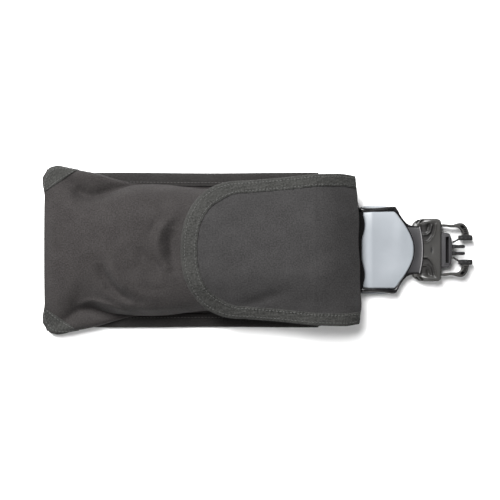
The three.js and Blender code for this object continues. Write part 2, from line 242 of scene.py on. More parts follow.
def mesh_object(name, points, faces, cloth=None, weld=0.0):
    """An object from points in millimetres. cloth gives each point's place on the flat cloth."""
    mesh = bpy.data.meshes.new(name)
    mesh.from_pydata([tuple(p) for p in np.asarray(points) * MM], [], faces)
    if cloth is not None:
        attribute = mesh.attributes.new("cloth_mm", "FLOAT_VECTOR", "POINT")
        flat = np.zeros((len(points), 3), np.float32)
        flat[:, : cloth.shape[1]] = cloth
        attribute.data.foreach_set("vector", flat.ravel())
    if weld:
        rework(mesh, lambda bm: bmesh.ops.remove_doubles(bm, verts=bm.verts, dist=weld * MM))
    mesh.polygons.foreach_set("use_smooth", [True] * len(mesh.polygons))
    mesh.update()
    return new_object(name, mesh)


def grid_faces(rows, columns, start=0, wrap=False, flip=False):
    faces = []
    last = columns if wrap else columns - 1
    for i in range(rows - 1):
        for j in range(last):
            a, b = start + i * columns + j, start + i * columns + (j + 1) % columns
            quad = (a, b, b + columns, a + columns)
            faces.append(quad[::-1] if flip else quad)
    return faces


def outward(obj):
    rework(obj.data, lambda bm: bmesh.ops.recalc_face_normals(bm, faces=bm.faces))
    return obj


def apply_modifiers(obj):
    """The object's mesh with its modifiers worked in, so that nothing is left on it."""
    bpy.context.view_layer.update()
    evaluated = obj.evaluated_get(bpy.context.evaluated_depsgraph_get())
    mesh = bpy.data.meshes.new_from_object(evaluated)
    old = obj.data
    obj.modifiers.clear()
    obj.data = mesh
    mesh.name = obj.name
    bpy.data.meshes.remove(old)
    return obj


def thicken(obj, thickness, offset=-1.0):
    shell = obj.modifiers.new("cloth_thickness", "SOLIDIFY")
    shell.thickness = thickness * MM
    shell.offset = offset
    shell.use_even_offset = False
    return apply_modifiers(obj)


def sheet_object(name, surface, us, vs, cloth, thickness, flip=False):
    """A cloth grid: surface(u, v) gives points and cloth(u, v) their place on the flat cloth."""
    u, v = np.meshgrid(us, vs, indexing="ij")
    points = np.stack(surface(u, v), axis=-1).reshape(-1, 3)
    flat = np.stack(cloth(u, v), axis=-1).reshape(-1, 2)
    return thicken(mesh_object(name, points, grid_faces(len(us), len(vs), flip=flip), flat), thickness)


def layered_cloth(name, rows, cloth, thickness, flip=True):
    """Cloth from rows of points and each row's places on the flat cloth."""
    faces = grid_faces(len(rows), len(rows[0]), flip=flip)
    return thicken(mesh_object(name, np.vstack(rows), faces, np.vstack(cloth)), thickness)


def wide_cloth(name, line, ys, place, thickness, offset=-1.0):
    """Cloth along a line of (x, z) points and as wide as ys. place(x, y, z) gives each point of it."""
    k, y = np.meshgrid(np.arange(len(line)), ys, indexing="ij")
    points = np.stack(place(line[k, 0], y, line[k, 1]), axis=-1).reshape(-1, 3)
    flat = np.stack([k * 0.8, y], axis=-1).reshape(-1, 2)
    return thicken(mesh_object(name, points, grid_faces(len(line), len(ys)), flat), thickness, offset)


def sweep(name, path, radii, sides=12, flatten=1.0):
    """A closed rod along a path of points, with a radius at each point and round ends."""
    path = np.array(path, float)
    radii = np.broadcast_to(np.array(radii, float), (len(path),))
    tangent = unit(np.gradient(path, axis=0))
    up = np.array([0.0, 0.0, 1.0])
    if abs(tangent[:, 2]).max() > 0.9:
        up = np.array([0.0, 1.0, 0.0])
    side = unit(np.cross(tangent, up))
    over = np.cross(side, tangent)
    turn = np.linspace(0, 2 * math.pi, sides, endpoint=False)
    cap = [math.sin(a) for a in np.linspace(0, math.pi / 2, 5)[1:-1]]
    rings, where = [], []
    for share in cap:
        drop = math.sqrt(1 - share**2)
        rings.append((path[0] - tangent[0] * radii[0] * drop, side[0], over[0], radii[0] * share))
    for p, s, o, r in zip(path, side, over, radii):
        rings.append((p, s, o, r))
    for share in cap[::-1]:
        drop = math.sqrt(1 - share**2)
        rings.append((path[-1] + tangent[-1] * radii[-1] * drop, side[-1], over[-1], radii[-1] * share))
    points = [p + s * r * math.cos(t) + o * r * flatten * math.sin(t) for p, s, o, r in rings for t in turn]
    passed = 0.0
    for i, (p, _, _, r) in enumerate(rings):
        passed += np.linalg.norm(p - rings[i - 1][0]) if i else 0
        where += [(passed, r * t) for t in turn]
    faces = grid_faces(len(rings), sides, wrap=True)
    faces.append(tuple(range(sides))[::-1])
    faces.append(tuple(range(len(points) - sides, len(points))))
    return outward(mesh_object(name, points, faces, np.array(where)))


def plate(name, outline, holes, z0, z1, bevel, resolution=3):
    """A flat plate with rounded edges, from outlines in plan."""
    curve = bpy.data.curves.new(name, "CURVE")
    curve.dimensions = "2D"
    curve.fill_mode = "BOTH"
    curve.extrude = ((z1 - z0) / 2 - bevel) * MM
    curve.bevel_depth = bevel * MM
    curve.bevel_resolution = resolution
    curve.offset = -bevel * MM
    for line in [outline, *holes]:
        spline = curve.splines.new("POLY")
        spline.points.add(len(line) - 1)
        for point, (x, y) in zip(spline.points, line):
            point.co = (x * MM, y * MM, 0, 1)
        spline.use_cyclic_u = True
    shape = new_object(name + "_outline", curve)
    bpy.context.view_layer.update()
    mesh = bpy.data.meshes.new_from_object(shape.evaluated_get(bpy.context.evaluated_depsgraph_get()))
    bpy.data.objects.remove(shape)
    rework(mesh, lambda bm: bmesh.ops.remove_doubles(bm, verts=bm.verts, dist=0.002 * MM),
           lambda bm: bmesh.ops.recalc_face_normals(bm, faces=bm.faces),
           lambda bm: bmesh.ops.translate(bm, verts=bm.verts, vec=(0, 0, (z0 + z1) / 2 * MM)))
    return round_shading(new_object(name, mesh), 32)


def round_shading(obj, angle=40):
    """Smooth shading with edges sharper than the angle left crisp."""
    mesh = obj.data
    mesh.polygons.foreach_set("use_smooth", [True] * len(mesh.polygons))
    mesh.set_sharp_from_angle(angle=math.radians(angle))
    return obj


def cut(obj, *tools):
    for tool in tools:
        boolean = obj.modifiers.new("cut", "BOOLEAN")
        boolean.operation = "DIFFERENCE"
        boolean.solver = "EXACT"
        boolean.object = tool
        apply_modifiers(obj)
        bpy.data.objects.remove(tool)
    return obj


def paint(obj, base, *coats):
    """Make the object of the base material. A coat is a material and a test that picks faces by centre."""
    faces = obj.data.polygons
    centres, index = np.empty(len(faces) * 3), np.empty(len(faces), int)
    faces.foreach_get("center", centres)
    faces.foreach_get("material_index", index)
    obj.data.materials.append(base)
    for material, chosen in coats:
        obj.data.materials.append(material)
        index[chosen(*(centres.reshape(-1, 3) / MM).T)] = len(obj.data.materials) - 1
    faces.foreach_set("material_index", index)


def cutter(outline, z0, z1):
    return plate("tool", outline, [], z0, z1, 0.0)


def box_cutter(x0, x1, y0, y1, z0, z1):
    return cutter([(x0, y0), (x1, y0), (x1, y1), (x0, y1)], z0, z1)


def joined(name, objects):
    """Several pieces made into one object."""
    bm = bmesh.new()
    for obj in objects:
        bm.from_mesh(obj.data)
    mesh = bpy.data.meshes.new(name)
    bm.to_mesh(mesh)
    bm.free()
    for obj in objects:
        bpy.data.objects.remove(obj)
    return new_object(name, mesh)


def relief_plate(name, left, right, half_y, top, bottom, edge, columns=90, rows=110, y_power=0.75):
    """A closed plate from left(y) to right(y) with faces top(x, y) and bottom(x, y) and rounded edges."""
    t = np.linspace(-1, 1, rows)
    ys = half_y * np.sign(t) * np.abs(t) ** y_power
    s = 0.5 - 0.5 * np.cos(np.linspace(0, math.pi, columns))
    y, s = np.meshgrid(ys, s, indexing="ij")
    x0, x1 = left(y), right(y)
    x = x0 + (x1 - x0) * s
    inset = np.minimum(np.minimum(x - x0, x1 - x), half_y - np.abs(y))
    drop = edge * (1 - np.sqrt(np.clip(1 - np.clip(1 - inset / edge, 0, 1) ** 2, 0, 1)))
    upper = np.stack([x, y, top(x, y) - drop], axis=-1).reshape(-1, 3)
    lower = np.stack([x, y, bottom(x, y) + drop], axis=-1).reshape(-1, 3)
    faces = grid_faces(rows, columns) + grid_faces(rows, columns, start=rows * columns, flip=True)
    rim = ([(0, j) for j in range(columns)] + [(i, columns - 1) for i in range(1, rows)]
           + [(rows - 1, j) for j in range(columns - 2, -1, -1)] + [(i, 0) for i in range(rows - 2, 0, -1)])
    index = [i * columns + j for i, j in rim]
    for a, b in zip(index, index[1:] + index[:1]):
        faces.append((a, b, b + rows * columns, a + rows * columns)[::-1])
    return round_shading(outward(mesh_object(name, np.vstack([upper, lower]), faces)), 50)


# One stitch: along its length, how fat it is and how high it stands, as shares of its length and radius.
STITCH_SHAPE = [(-0.5, 0.35, -0.9), (-0.42, 0.85, -0.25), (-0.2, 1.0, 0.12), (0.2, 1.0, 0.12),
                (0.42, 0.85, -0.25), (0.5, 0.35, -0.9)]


def stitches(name, rows):
    """Rows of stitched thread. A row is points on the cloth and the cloth's outward directions there."""
    length, radius, lift = 1.95, 0.27, 0.1
    points, faces, where = [], [], []
    turn = np.linspace(0, 2 * math.pi, 6, endpoint=False)
    for line, normals in rows:
        line, normals = np.array(line, float), np.array(normals, float)
        s = walked(line)
        for centre in np.arange(STITCH_PITCH / 2, s[-1] - STITCH_PITCH / 2, STITCH_PITCH):
            def at(d, data):
                return np.array([np.interp(centre + d, s, data[:, k]) for k in range(3)])
            p, n = at(0, line), at(0, normals)
            along = at(length / 2, line) - at(-length / 2, line)
            along /= np.linalg.norm(along)
            n = n - along * (n @ along)
            n /= np.linalg.norm(n)
            across = np.cross(n, along)
            first = len(points)
            for share, fat, height in STITCH_SHAPE:
                c = p + along * share * length + n * (height * radius + lift)
                points += [c + (across * math.cos(t) + n * math.sin(t)) * radius * fat for t in turn]
                where += [(centre + share * length, t) for t in turn]
            faces += grid_faces(len(STITCH_SHAPE), 6, start=first, wrap=True)
            faces.append(tuple(range(first, first + 6))[::-1])
            faces.append(tuple(range(len(points) - 6, len(points))))
    return outward(mesh_object(name, points, faces, np.array(where)))


# ---- Materials ----

def nodes_of(name, color, roughness, **sockets):
    material = bpy.data.materials.new(name)
    material.use_nodes = True
    tree = material.node_tree
    shader = tree.nodes["Principled BSDF"]
    shader.inputs["Base Color"].default_value = (*color, 1)
    shader.inputs["Roughness"].default_value = roughness
    for socket, value in sockets.items():
        shader.inputs[socket.replace("_", " ")].default_value = value
    return material, tree, shader


def node(tree, kind, inputs=(), **settings):
    made = tree.nodes.new(kind)
    for key, value in settings.items():
        setattr(made, key, value)
    for key, value in dict(inputs).items():
        if isinstance(value, bpy.types.NodeSocket):
            tree.links.new(value, made.inputs[key])
        else:
            made.inputs[key].default_value = value
    return made


def maths(tree, operation, a, b=0.0):
    return node(tree, "ShaderNodeMath", {0: a, 1: b}, operation=operation).outputs[0]


def tint(tree, factor, dark, light, low=0.35, high=0.65):
    ramp = node(tree, "ShaderNodeValToRGB", {0: factor})
    ramp.color_ramp.elements[0].position, ramp.color_ramp.elements[1].position = low, high
    ramp.color_ramp.elements[0].color = (*dark, 1)
    ramp.color_ramp.elements[1].color = (*light, 1)
    return ramp.outputs[0]


def noise(tree, place, scale, detail, roughness=0.5):
    return node(tree, "ShaderNodeTexNoise", {"Vector": place, "Scale": scale, "Detail": detail,
                                             "Roughness": roughness}).outputs["Fac"]


def ranged(tree, value, low, high, to_low, to_high):
    return node(tree, "ShaderNodeMapRange", {"Value": value, "From Min": low, "From Max": high,
                                             "To Min": to_low, "To Max": to_high}).outputs[0]


def mixed(tree, share, base, color):
    return node(tree, "ShaderNodeMix", {0: share, 6: base, 7: (*color, 1)}, data_type="RGBA").outputs[2]


def cloth_place(tree):
    """The place on the flat cloth in millimetres, and its two directions by themselves."""
    flat = node(tree, "ShaderNodeAttribute", attribute_name="cloth_mm").outputs["Vector"]
    parts = node(tree, "ShaderNodeSeparateXYZ", {0: flat})
    return flat, parts.outputs[0], parts.outputs[1]


def object_place(tree):
    return node(tree, "ShaderNodeTexCoord").outputs["Object"]


def wear(tree, low, high, share):
    """How rubbed a raised edge is."""
    raised = node(tree, "ShaderNodeNewGeometry").outputs["Pointiness"]
    return maths(tree, "MULTIPLY", tint(tree, raised, (0, 0, 0), (1, 1, 1), low, high), share)


def feed(tree, shader, **sockets):
    for socket, value in sockets.items():
        tree.links.new(value, shader.inputs[socket.replace("_", " ")])


def relief(tree, shader, height, strength, distance):
    """Raise the surface by a height, in millimetres."""
    bump = node(tree, "ShaderNodeBump", {"Height": height, "Strength": strength, "Distance": distance * MM})
    feed(tree, shader, Normal=bump.outputs[0])


def scaled(color, factor):
    return [min(1, c * factor) for c in color]


def woven(name, color, pitch=0.85, rib=None, depth=0.05, variation=0.13, speckle=1.3):
    """Plain-woven cloth: yarns over and under, a soft mottling, fuzz and a little wear on raised edges."""
    material, tree, shader = nodes_of(name, color, 0.88, Sheen_Weight=0.025, Sheen_Roughness=0.5)
    flat, along, across = cloth_place(tree)
    warp = maths(tree, "SINE", maths(tree, "MULTIPLY", along, 2 * math.pi / pitch))
    weft = maths(tree, "SINE", maths(tree, "MULTIPLY", across, 2 * math.pi / (rib or pitch)))
    yarns = maths(tree, "MULTIPLY", warp, weft)
    fuzz = noise(tree, flat, 0.9, 3.0)
    mottle = noise(tree, flat, 0.06, 6.0, 0.72)
    lustre = maths(tree, "ADD", fuzz, maths(tree, "MULTIPLY", mottle, 0.3))
    relief(tree, shader, maths(tree, "ADD", yarns, maths(tree, "MULTIPLY", fuzz, 1.6)), 0.55, depth)
    base = tint(tree, mottle, scaled(color, 1 - variation), scaled(color, 1 + variation))
    speck = maths(tree, "MULTIPLY", maths(tree, "SUBTRACT", fuzz, 0.42), speckle)
    share = maths(tree, "ADD", maths(tree, "MULTIPLY", maths(tree, "ADD", yarns, 1.0), 0.12), speck)
    grain = mixed(tree, maths(tree, "MAXIMUM", share, 0.0), base, scaled(color, 1.9))
    feed(tree, shader, Specular_IOR_Level=ranged(tree, lustre, 0.48, 0.82, 0.08, 0.24),
         Base_Color=mixed(tree, wear(tree, 0.505, 0.56, 0.05), grain, scaled(color, 1.8)))
    return material


def thread(name, color):
    """Twisted sewing thread."""
    material, tree, shader = nodes_of(name, color, 0.6)
    _, along, around = cloth_place(tree)
    lay = maths(tree, "SINE", maths(tree, "ADD", maths(tree, "MULTIPLY", along, 9.0), around))
    relief(tree, shader, lay, 0.5, 0.05)
    share = maths(tree, "ADD", maths(tree, "MULTIPLY", lay, 0.5), 0.5)
    feed(tree, shader, Base_Color=tint(tree, share, scaled(color, 0.75), color, 0.2, 0.8))
    return material


def moulded(name, color, roughness, grain=0.5, depth=0.02, variation=0.08, specular=0.3):
    """Moulded plastic or elastomer: a fine grain, slight flow marks and brighter, rubbed edges."""
    material, tree, shader = nodes_of(name, color, roughness, Specular_IOR_Level=specular)
    place = object_place(tree)
    relief(tree, shader, noise(tree, place, grain / MM, 2.0), 0.35, depth)
    broad = noise(tree, place, 0.06 / MM, 3.0)
    base = tint(tree, broad, scaled(color, 1 - variation), scaled(color, 1 + variation))
    rubbed = [min(1, c * 1.5 + 0.02) for c in color]
    feed(tree, shader, Base_Color=mixed(tree, wear(tree, 0.52, 0.6, 0.35), base, rubbed),
         Roughness=ranged(tree, broad, 0.3, 0.7, roughness * 0.88, roughness * 1.12))
    return material


def cast_lead(name):
    material, tree, shader = nodes_of(name, (0.16, 0.165, 0.175), 0.55, Metallic=0.85)
    skin = noise(tree, object_place(tree), 0.18 / MM, 6.0)
    relief(tree, shader, skin, 0.5, 0.15)
    feed(tree, shader, Base_Color=tint(tree, skin, (0.1, 0.102, 0.108), (0.27, 0.275, 0.285)))
    return material


def pile(name, color):
    """Hook-and-loop tape."""
    material, tree, shader = nodes_of(name, color, 0.95, Sheen_Weight=0.5)
    cells = node(tree, "ShaderNodeTexVoronoi", {"Vector": object_place(tree), "Scale": 0.9 / MM})
    loops = cells.outputs["Distance"]
    relief(tree, shader, loops, 0.9, 0.5)
    feed(tree, shader, Base_Color=tint(tree, loops, scaled(color, 0.5), scaled(color, 1.8), 0.1, 0.6))
    return material


NYLON = woven("pouch_nylon", (0.0116, 0.0103, 0.0101))
FLAP_NYLON = woven("flap_nylon", (0.0140, 0.0134, 0.0135))
BACK_NYLON = woven("back_nylon", (0.0092, 0.0085, 0.0082))
TAPE = woven("binding_tape", (0.0140, 0.0140, 0.0131), 1.1, rib=0.7, depth=0.14, variation=0.3, speckle=3.2)
WEBBING = woven("webbing", (0.009, 0.009, 0.0095), pitch=1.8, rib=1.2, depth=0.2)
THREAD = thread("thread", (0.031, 0.032, 0.030))
DARK_THREAD = thread("dark_thread", (0.022, 0.0208, 0.0200))
PILE = pile("hook_and_loop", (0.007, 0.007, 0.0075))
BLACK = moulded("handle_black", (0.0026, 0.0024, 0.0027), 0.22)
NECK_GREY = moulded("neck_grey", (0.0175, 0.0170, 0.0183), 0.42)
# Light grey for the neck's lip bead: a painted highlight along the bead.
LIP_HIGHLIGHT = moulded("lip_painted_highlight", (0.095, 0.092, 0.095), 0.30)
BUCKLE = moulded("buckle_plastic", (0.0200, 0.0194, 0.0184), 0.36, 0.8, 0.03)
BUCKLE_DARK = moulded("buckle_plastic_dark", (0.0090, 0.0090, 0.0092), 0.42, 0.8, 0.03, specular=0.14)
# Darker plastic for the finger scoops: painted shade in the hollows.
BUCKLE_SCOOP_SHADE = moulded("buckle_scoop_painted_shade", (0.0130, 0.0125, 0.0122), 0.42, 0.8, 0.03, specular=0.19)
LINK = moulded("link_plastic", (0.0120, 0.0118, 0.0116), 0.6, specular=0.1)
# Near-black for the paddles' pits: painted shade in the pockets.
BUCKLE_PIT_SHADE = moulded("buckle_pit_painted_shade", (0.0035, 0.0034, 0.0033), 0.8, 0.8, 0.03, specular=0.04)
# Near-black for narrow grooves and slots: painted shade in the recesses.
PIT_SHADE_BLACK = moulded("pit_painted_shade", (0.001, 0.001, 0.001), 0.8)
GRIP = moulded("grip_elastomer", (0.146, 0.157, 0.169), 0.38, grain=0.35, depth=0.015, variation=0.03)
LEAD = cast_lead("cast_lead")


def attach(obj, body=None, replaced=()):
    """Put a piece on its body and hide the nodes that it stands for."""
    if body:
        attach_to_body(obj, body)
    if replaced:
        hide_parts(*replaced)
    return obj


def finish_piece(obj, material, body=None, replaced=()):
    """Attach a piece that is all of one material."""
    obj.data.materials.clear()
    obj.data.materials.append(material)
    return attach(obj, body, replaced)


# ---- Pouch ----

FRONT_CLOTH = 1.1

pouch_height = profile([
    *shifted(END_X, (0, 10.0), (6, 15.3), (14, 20.2), (26, 24.0), (40, 27.2), (54, 30.2), (76, TOP_Z),
             (125, TOP_Z + 0.8)),
    (15, TOP_Z - 0.4),
    *shifted(MOUTH_X, (-22, TOP_Z - 1.2), (-14, TOP_Z - 2.9), (-7, TOP_Z - 6.0), (0, TOP_Z - 10.2))], 4)
bulge_half = profile([
    *shifted(END_X, (0, 61), (12, 60), (21, 54), (30, 46), (38, 42.5), (45, 43.2), (52, 45.5), (62, 49),
             (72, 51.4), (84, 52.2), (97, 51.8), (123, 48.5)),
    (-20, 47), (MOUTH_X, 47.2)], 2.5)
outer_half = profile([
    *shifted(END_X, (0, 61.8), (3, 64), (7, 66), (12, CORNER_Y + 0.3), (19, 65.2), (30, 62.9), (42, 60.7),
             (55, 56.6), (70, 52.6), (80, 52.2), (97, 51.9), (123, 48.5)),
    (-20, 47), (MOUTH_X, 47.2)], 1.5)
# The wing's edge rides over the hem, then comes down to the panel where the seam takes over.
floor_height = profile([*shifted(END_X, (0, 3.4), (12, 4.8), (25, 5.6), (62, 5.6), (74, 4.4), (86, 3.0)),
                        (MOUTH_X, 3.0)], 3)
wing_height = profile([*shifted(END_X, (0, 3.4), (15, 5), (30, 7.2), (42, 7.4), (55, 5.5), (70, 2.5),
                                (82, 0.2)), (MOUTH_X, 0)], 3)

# Creases and ridges of the front: the line they follow, depth (negative is a ridge) and width.
FRONT_CREASES = [
    ([(-143, 53), (-140.5, 46.5), (-134, 42.8), (-125, 43.6), (-118.5, 46.0), (-108, 50.5)], 2.2, 4.8),
    ([(-137, 36), (-126, 36.5), (-112, 41), (-96, 44)], -1.1, 4.0),
    ([(-143, 50), (-140, 43), (-136, 38)], 1.4, 4.5),
    ([(-140, -42.5), (-134, -39.9), (-128, -39.4), (-115.4, -42.9), (-105, -47), (-95.4, -50.2)], -2.3, 1.9),
    ([(-140, -48), (-127, -47), (-113, -50.5)], 2.4, 3.4),
    ([(-118, -35), (-101, -42.5), (-84, -46.0), (-62, -44.5)], -1.5, 3.2),
    ([(-148, -52), (-142, -41), (-138, -27)], 0.9, 4.5),
    ([(-65.4, 17), (-67.0, 7), (-66.4, -3), (-64.5, -14)], 5.4, 5.0),
    ([(-61, 31), (-75.5, 16), (-78.4, 4), (-75, -8), (-66, -19)], -2.0, 3.6),
    ([(-78, 24), (-84.5, 12)], 0.8, 2.4),
    ([(-92, 3), (-90, -8)], 1.2, 3.2),
    ([(-84, -4), (-79.6, -9.2), (-77, -13), (-77, -22)], 1.2, 3.0),
    ([(-123, -8), (-120, -18.5), (-114.5, -27.5), (-107, -35), (-95, -41.5)], 4.4, 4.2),
    ([(-115, -6), (-112.5, -15), (-108, -22.5), (-102, -29), (-92, -35)], -3.0, 4.6),
    ([(-126, -14), (-125, -25), (-118, -34)], -0.7, 4.5),
    ([(-92, -28), (-80, -31), (-66, -30)], 0.8, 4.0),
    ([(-160, 36), (-161, 8), (-160, -34)], -0.7, 4.0),
    ([(-152, 40), (-153, 6), (-151, -38)], 0.6, 5.0),
    ([(-62, 42), (-77, 36), (-94, 36)], 0.7, 5.0),
    ([(-140, 12), (-120, 16), (-100, 12)], 0.35, 6.0),
]


def soft_max(a, b, k):
    h = np.clip(0.5 + 0.5 * (a - b) / k, 0, 1)
    return b + (a - b) * h + k * h * (1 - h)


def creased(z, x, y, creases):
    """The height z with each crease pressed into it, fading out at both ends."""
    for line, depth, width in creases:
        d, _, along = distance_to(x, y, line)
        z = z - depth * bell(d, width) * np.sin(math.pi * np.clip(along, 0.04, 0.96)) ** 0.6
    return z


def front_z(x, y):
    """Height of the pouch's front over a place in plan: the filled bulge and the loose wings beside it."""
    b, w, h = bulge_half(x) + 5.2 * bell(x + 124, 17) * (y < 0), outer_half(x), pouch_height(x)
    floor = floor_height(x)
    full = smoothstep((x - END_X - 24) / 50)
    power, root = 2.3 + (0.8 + 2.2 * smoothstep(-y / 20)) * full, 1.5 + 0.7 * full
    share = np.clip(np.abs(y) / b, 0, 1)
    bulge = floor + (h - floor) * (1 - share**power) ** (1 / root)
    out = np.clip((np.abs(y) - b) / np.maximum(w - b, 0.5), 0, 1)
    wing_share = np.clip(np.abs(y) / w, 0, 1)
    wing = floor + wing_height(x) * (0.7 + 0.4 * out) * np.sqrt(1 - wing_share**22)
    z = soft_max(bulge, wing, 1.6)
    inside = smoothstep((w - np.abs(y)) / 6) * smoothstep((x - END_X) / 6)
    wrinkle = creased(np.zeros(z.shape), x, y, FRONT_CREASES)
    loose = smoothstep((-45 - x) / 30)
    wrinkle += 0.3 * noise2(x, y, 40, 1) + (0.08 + 0.06 * loose) * noise2(x, y, 17, 2)
    return z + wrinkle * inside


def half_section(x, side, count):
    """Evenly spaced (y, z) points of one half of the pouch at x, from the middle to its flange."""
    w = float(outer_half(x))
    rim = 0.8 + 0.2 * np.sin(np.linspace(0, math.pi / 2, 220)[1:])
    share = np.concatenate([np.linspace(0, 0.8, 60), rim])
    ys = share * w
    zs = front_z(np.full(ys.shape, x), side * ys)
    floor = float(floor_height(x))
    zs[-1] = floor
    flange = 5.0 * float(smoothstep((x - END_X - 80) / 12))
    dip = 0.35 * (1 - min(flange, 1))
    outer = np.array([[w + f * flange - 0.01, floor - dip * f] for f in (0.3, 0.65, 1.0)])
    line = np.vstack([np.stack([ys, zs], axis=1), outer])
    line = evenly(line, count)
    line[:, 0] *= side
    return line


# The closed end is straight at STRAIGHT_X, and its first rows of points lie closer together.
STRAIGHT_X = END_X + 1.7


def rows_along(near, far_x, far):
    near_rows = STRAIGHT_X + 14 * np.linspace(0, 1, near)[:-1] ** 1.5
    return np.concatenate([near_rows, np.linspace(STRAIGHT_X + 14, far_x, far)])


def end_bow(y):
    """How far the closed end stands out beyond its straight middle stretch."""
    reach = np.abs(y)
    return -1.7 * smoothstep((reach - 42) / 12) * (1 - 1.6 * smoothstep((reach - 57) / 6))


def pouch_front():
    half = 92
    xs = rows_along(26, MOUTH_X, 211)
    points, flat = [], []
    for x in xs:
        lower = half_section(x, -1, half)[::-1]
        upper = half_section(x, 1, half)[1:]
        section = np.vstack([lower, upper])
        near = 1 - smoothstep((x - STRAIGHT_X) / 12)
        along = x + end_bow(section[:, 0]) * near
        arc = walked(section)
        points.append(np.stack([along, section[:, 0], section[:, 1]], axis=1))
        flat.append(np.stack([np.full(len(section), x), arc - arc[half - 1]], axis=1))
    first = points[0]
    wall = []
    for share in (1.0, 0.75, 0.5, 0.25, 0.08):
        turned = first.copy()
        turned[:, 2] = PANEL_Z + 0.6 + (first[:, 2] - PANEL_Z - 0.6) * share
        turned[:, 0] = first[:, 0] - 0.9 * math.sin(math.pi * min(1, 1.15 - share))
        wall.append(turned)
    points = wall[:0:-1] + points
    flat = [flat[0] - [1.5 * (k + 1), 0] for k in range(4)][::-1] + flat
    return layered_cloth("pouch_front_cloth", points, flat, FRONT_CLOTH)


def front_normal(x, y):
    """Outward direction of the pouch's front over a place in plan."""
    x, y = np.atleast_1d(np.asarray(x, float)), np.atleast_1d(np.asarray(y, float))
    e = 0.4
    dx = (front_z(x + e, y) - front_z(x - e, y)) / (2 * e)
    dy = (front_z(x, y + e) - front_z(x, y - e)) / (2 * e)
    return unit(np.stack([-dx, -dy, np.ones(dx.shape)], axis=1))


def panel_outline_y(x):
    """Half-width of the back panel: the loose corners, the long sides and the slope under the flap."""
    corner = outer_half(x) - 0.6
    side = PANEL_Y - 3.0 * smoothstep((x - HEM_HI[0]) / 10) + 0.25 * np.sin(x / 23)
    return np.where(x < END_X + 41, np.maximum(corner, side - 8 * smoothstep((END_X + 41 - x) / 38)), side)


def back_cloth():
    def surface(u, v):
        half = panel_outline_y(u)
        y = v * half
        x = u + end_bow(y) * (1 - smoothstep((u - STRAIGHT_X) / 12))
        edge = smoothstep((np.abs(v) - 0.8) / 0.2)
        lift = 0.35 * edge * (1 + noise2(x, y, 46, 3)) * smoothstep((u - END_X - 30) / 20)
        return x, y, PANEL_Z - 0.2 + lift - 0.5 * smoothstep((np.abs(v) - 0.985) / 0.015)

    vs = np.sin(np.linspace(-1, 1, 80) * math.pi / 2)
    return sheet_object("back_panel_cloth", surface, rows_along(16, BACK_HI[0], 150), vs,
                        lambda u, v: (u, v * PANEL_Y), PANEL_Z - 0.3, flip=True)


def hem_strip(side):
    """The turned hem along one long side of the back panel."""
    xs = np.linspace(CORNER_LO[0] + 38, HEM_HI[0] + 1, 140)
    section = [(0.6, -1.4), (-0.35, -0.9), (-0.3, 0.6), (0.7, 1.55), (2.6, 1.95), (5.5, 2.0), (8.4, 1.75),
               (9.9, 1.7), (10.4, 1.35), (10.2, 0.9)]
    line = curve_through(section, 22)

    def surface(u, k):
        inset, height = line[k, 0], line[k, 1]
        pucker = 0.13 * np.sin(u * 2 * math.pi / STITCH_PITCH) * bell(inset - 8.4, 1.6)
        y = panel_outline_y(u) + 0.3 - inset
        return u, side * y, PANEL_Z - 0.1 + height + pucker + 0.22 * noise2(u, side * y, 38, 3)

    return sheet_object("hem_" + SIDES[side], surface, xs, np.arange(len(line)),
                        lambda u, k: (u, line[k, 0]), 0.5, flip=side < 0)


def hem_stitches():
    rows = []
    xs = np.linspace(END_X + 62, HEM_HI[0] - 1, 400)
    for side in (-1, 1):
        y = panel_outline_y(xs) + 0.3 - 7.3
        z = PANEL_Z - 0.1 + 1.85 + 0.22 * noise2(xs, side * y, 38, 3)
        rows.append((np.stack([xs, side * y, z], axis=1), np.tile([0, 0, 1.0], (len(xs), 1))))
    return rows


CORNER_LINE = shifted(END_X, (1.7, 46.2), (11, 52.0), (20, 58.2), (27, 63.0))


def corner_outline(count):
    """The edge of the loose corner, from the closed end round the tip to the long side."""
    end = [(STRAIGHT_X + end_bow(y), y) for y in (46.5, 50, 54, 58, 61)]
    side = [(x, float(outer_half(x))) for x in END_X + np.array([4.5, 8, 12, 16, 21, 27.3])]
    return curve_through(end + side, count)


def corner_tape(side):
    """The tape that closes a loose corner, folded over its edge."""
    count = 60
    inner = curve_through(CORNER_LINE, count)
    outer = corner_outline(count)
    shares = [0.0, 0.02, 0.1, 0.25, 0.4, 0.55, 0.7, 0.82, 0.9, 0.95, 0.98, 1.0]
    points, flat = [], []
    for share in shares:
        p = inner + (outer - inner) * share
        q = inner + (outer - inner) * min(share, 0.93)
        z = front_z(np.maximum(q[:, 0], END_X + 2), side * q[:, 1])
        rim = smoothstep((share - 0.86) / 0.14)
        pucker = 0.16 * np.sin(np.linspace(0, 2 * math.pi * 11, count)) * smoothstep(share / 0.2)
        puff = 0.15 + 0.75 * smoothstep(share / 0.03)
        z = z + puff + pucker * (1 - rim) - 1.4 * rim
        points.append(np.stack([p[:, 0], side * p[:, 1], z], axis=1))
        flat.append(np.stack([np.linspace(0, 40, count), np.full(count, share * 12)], axis=1))
    out = unit(outer - inner)
    for beyond, z in ((0.45, 3.9), (0.5, 2.6), (0.1, 1.2), (-1.0, 0.75), (-4.0, 0.7)):
        p = outer + out * beyond
        points.append(np.stack([p[:, 0], side * p[:, 1], np.full(count, z)], axis=1))
        flat.append(np.stack([np.linspace(0, 40, count), np.full(count, 13 + len(points))], axis=1))
    return layered_cloth("corner_tape_" + SIDES[side], points, flat, 0.6, flip=side < 0)


def corner_stitches():
    rows = []
    for side in (-1, 1):
        inner = curve_through(CORNER_LINE, 120)
        outer = corner_outline(120)
        for share in (0.13, 0.78):
            p = (inner + (outer - inner) * share)[6:-6]
            x, y = p[:, 0], side * p[:, 1]
            z = front_z(np.maximum(x, END_X + 2), y) + 0.95
            rows.append((np.stack([x, y, z], axis=1), front_normal(x, y)))
    return rows


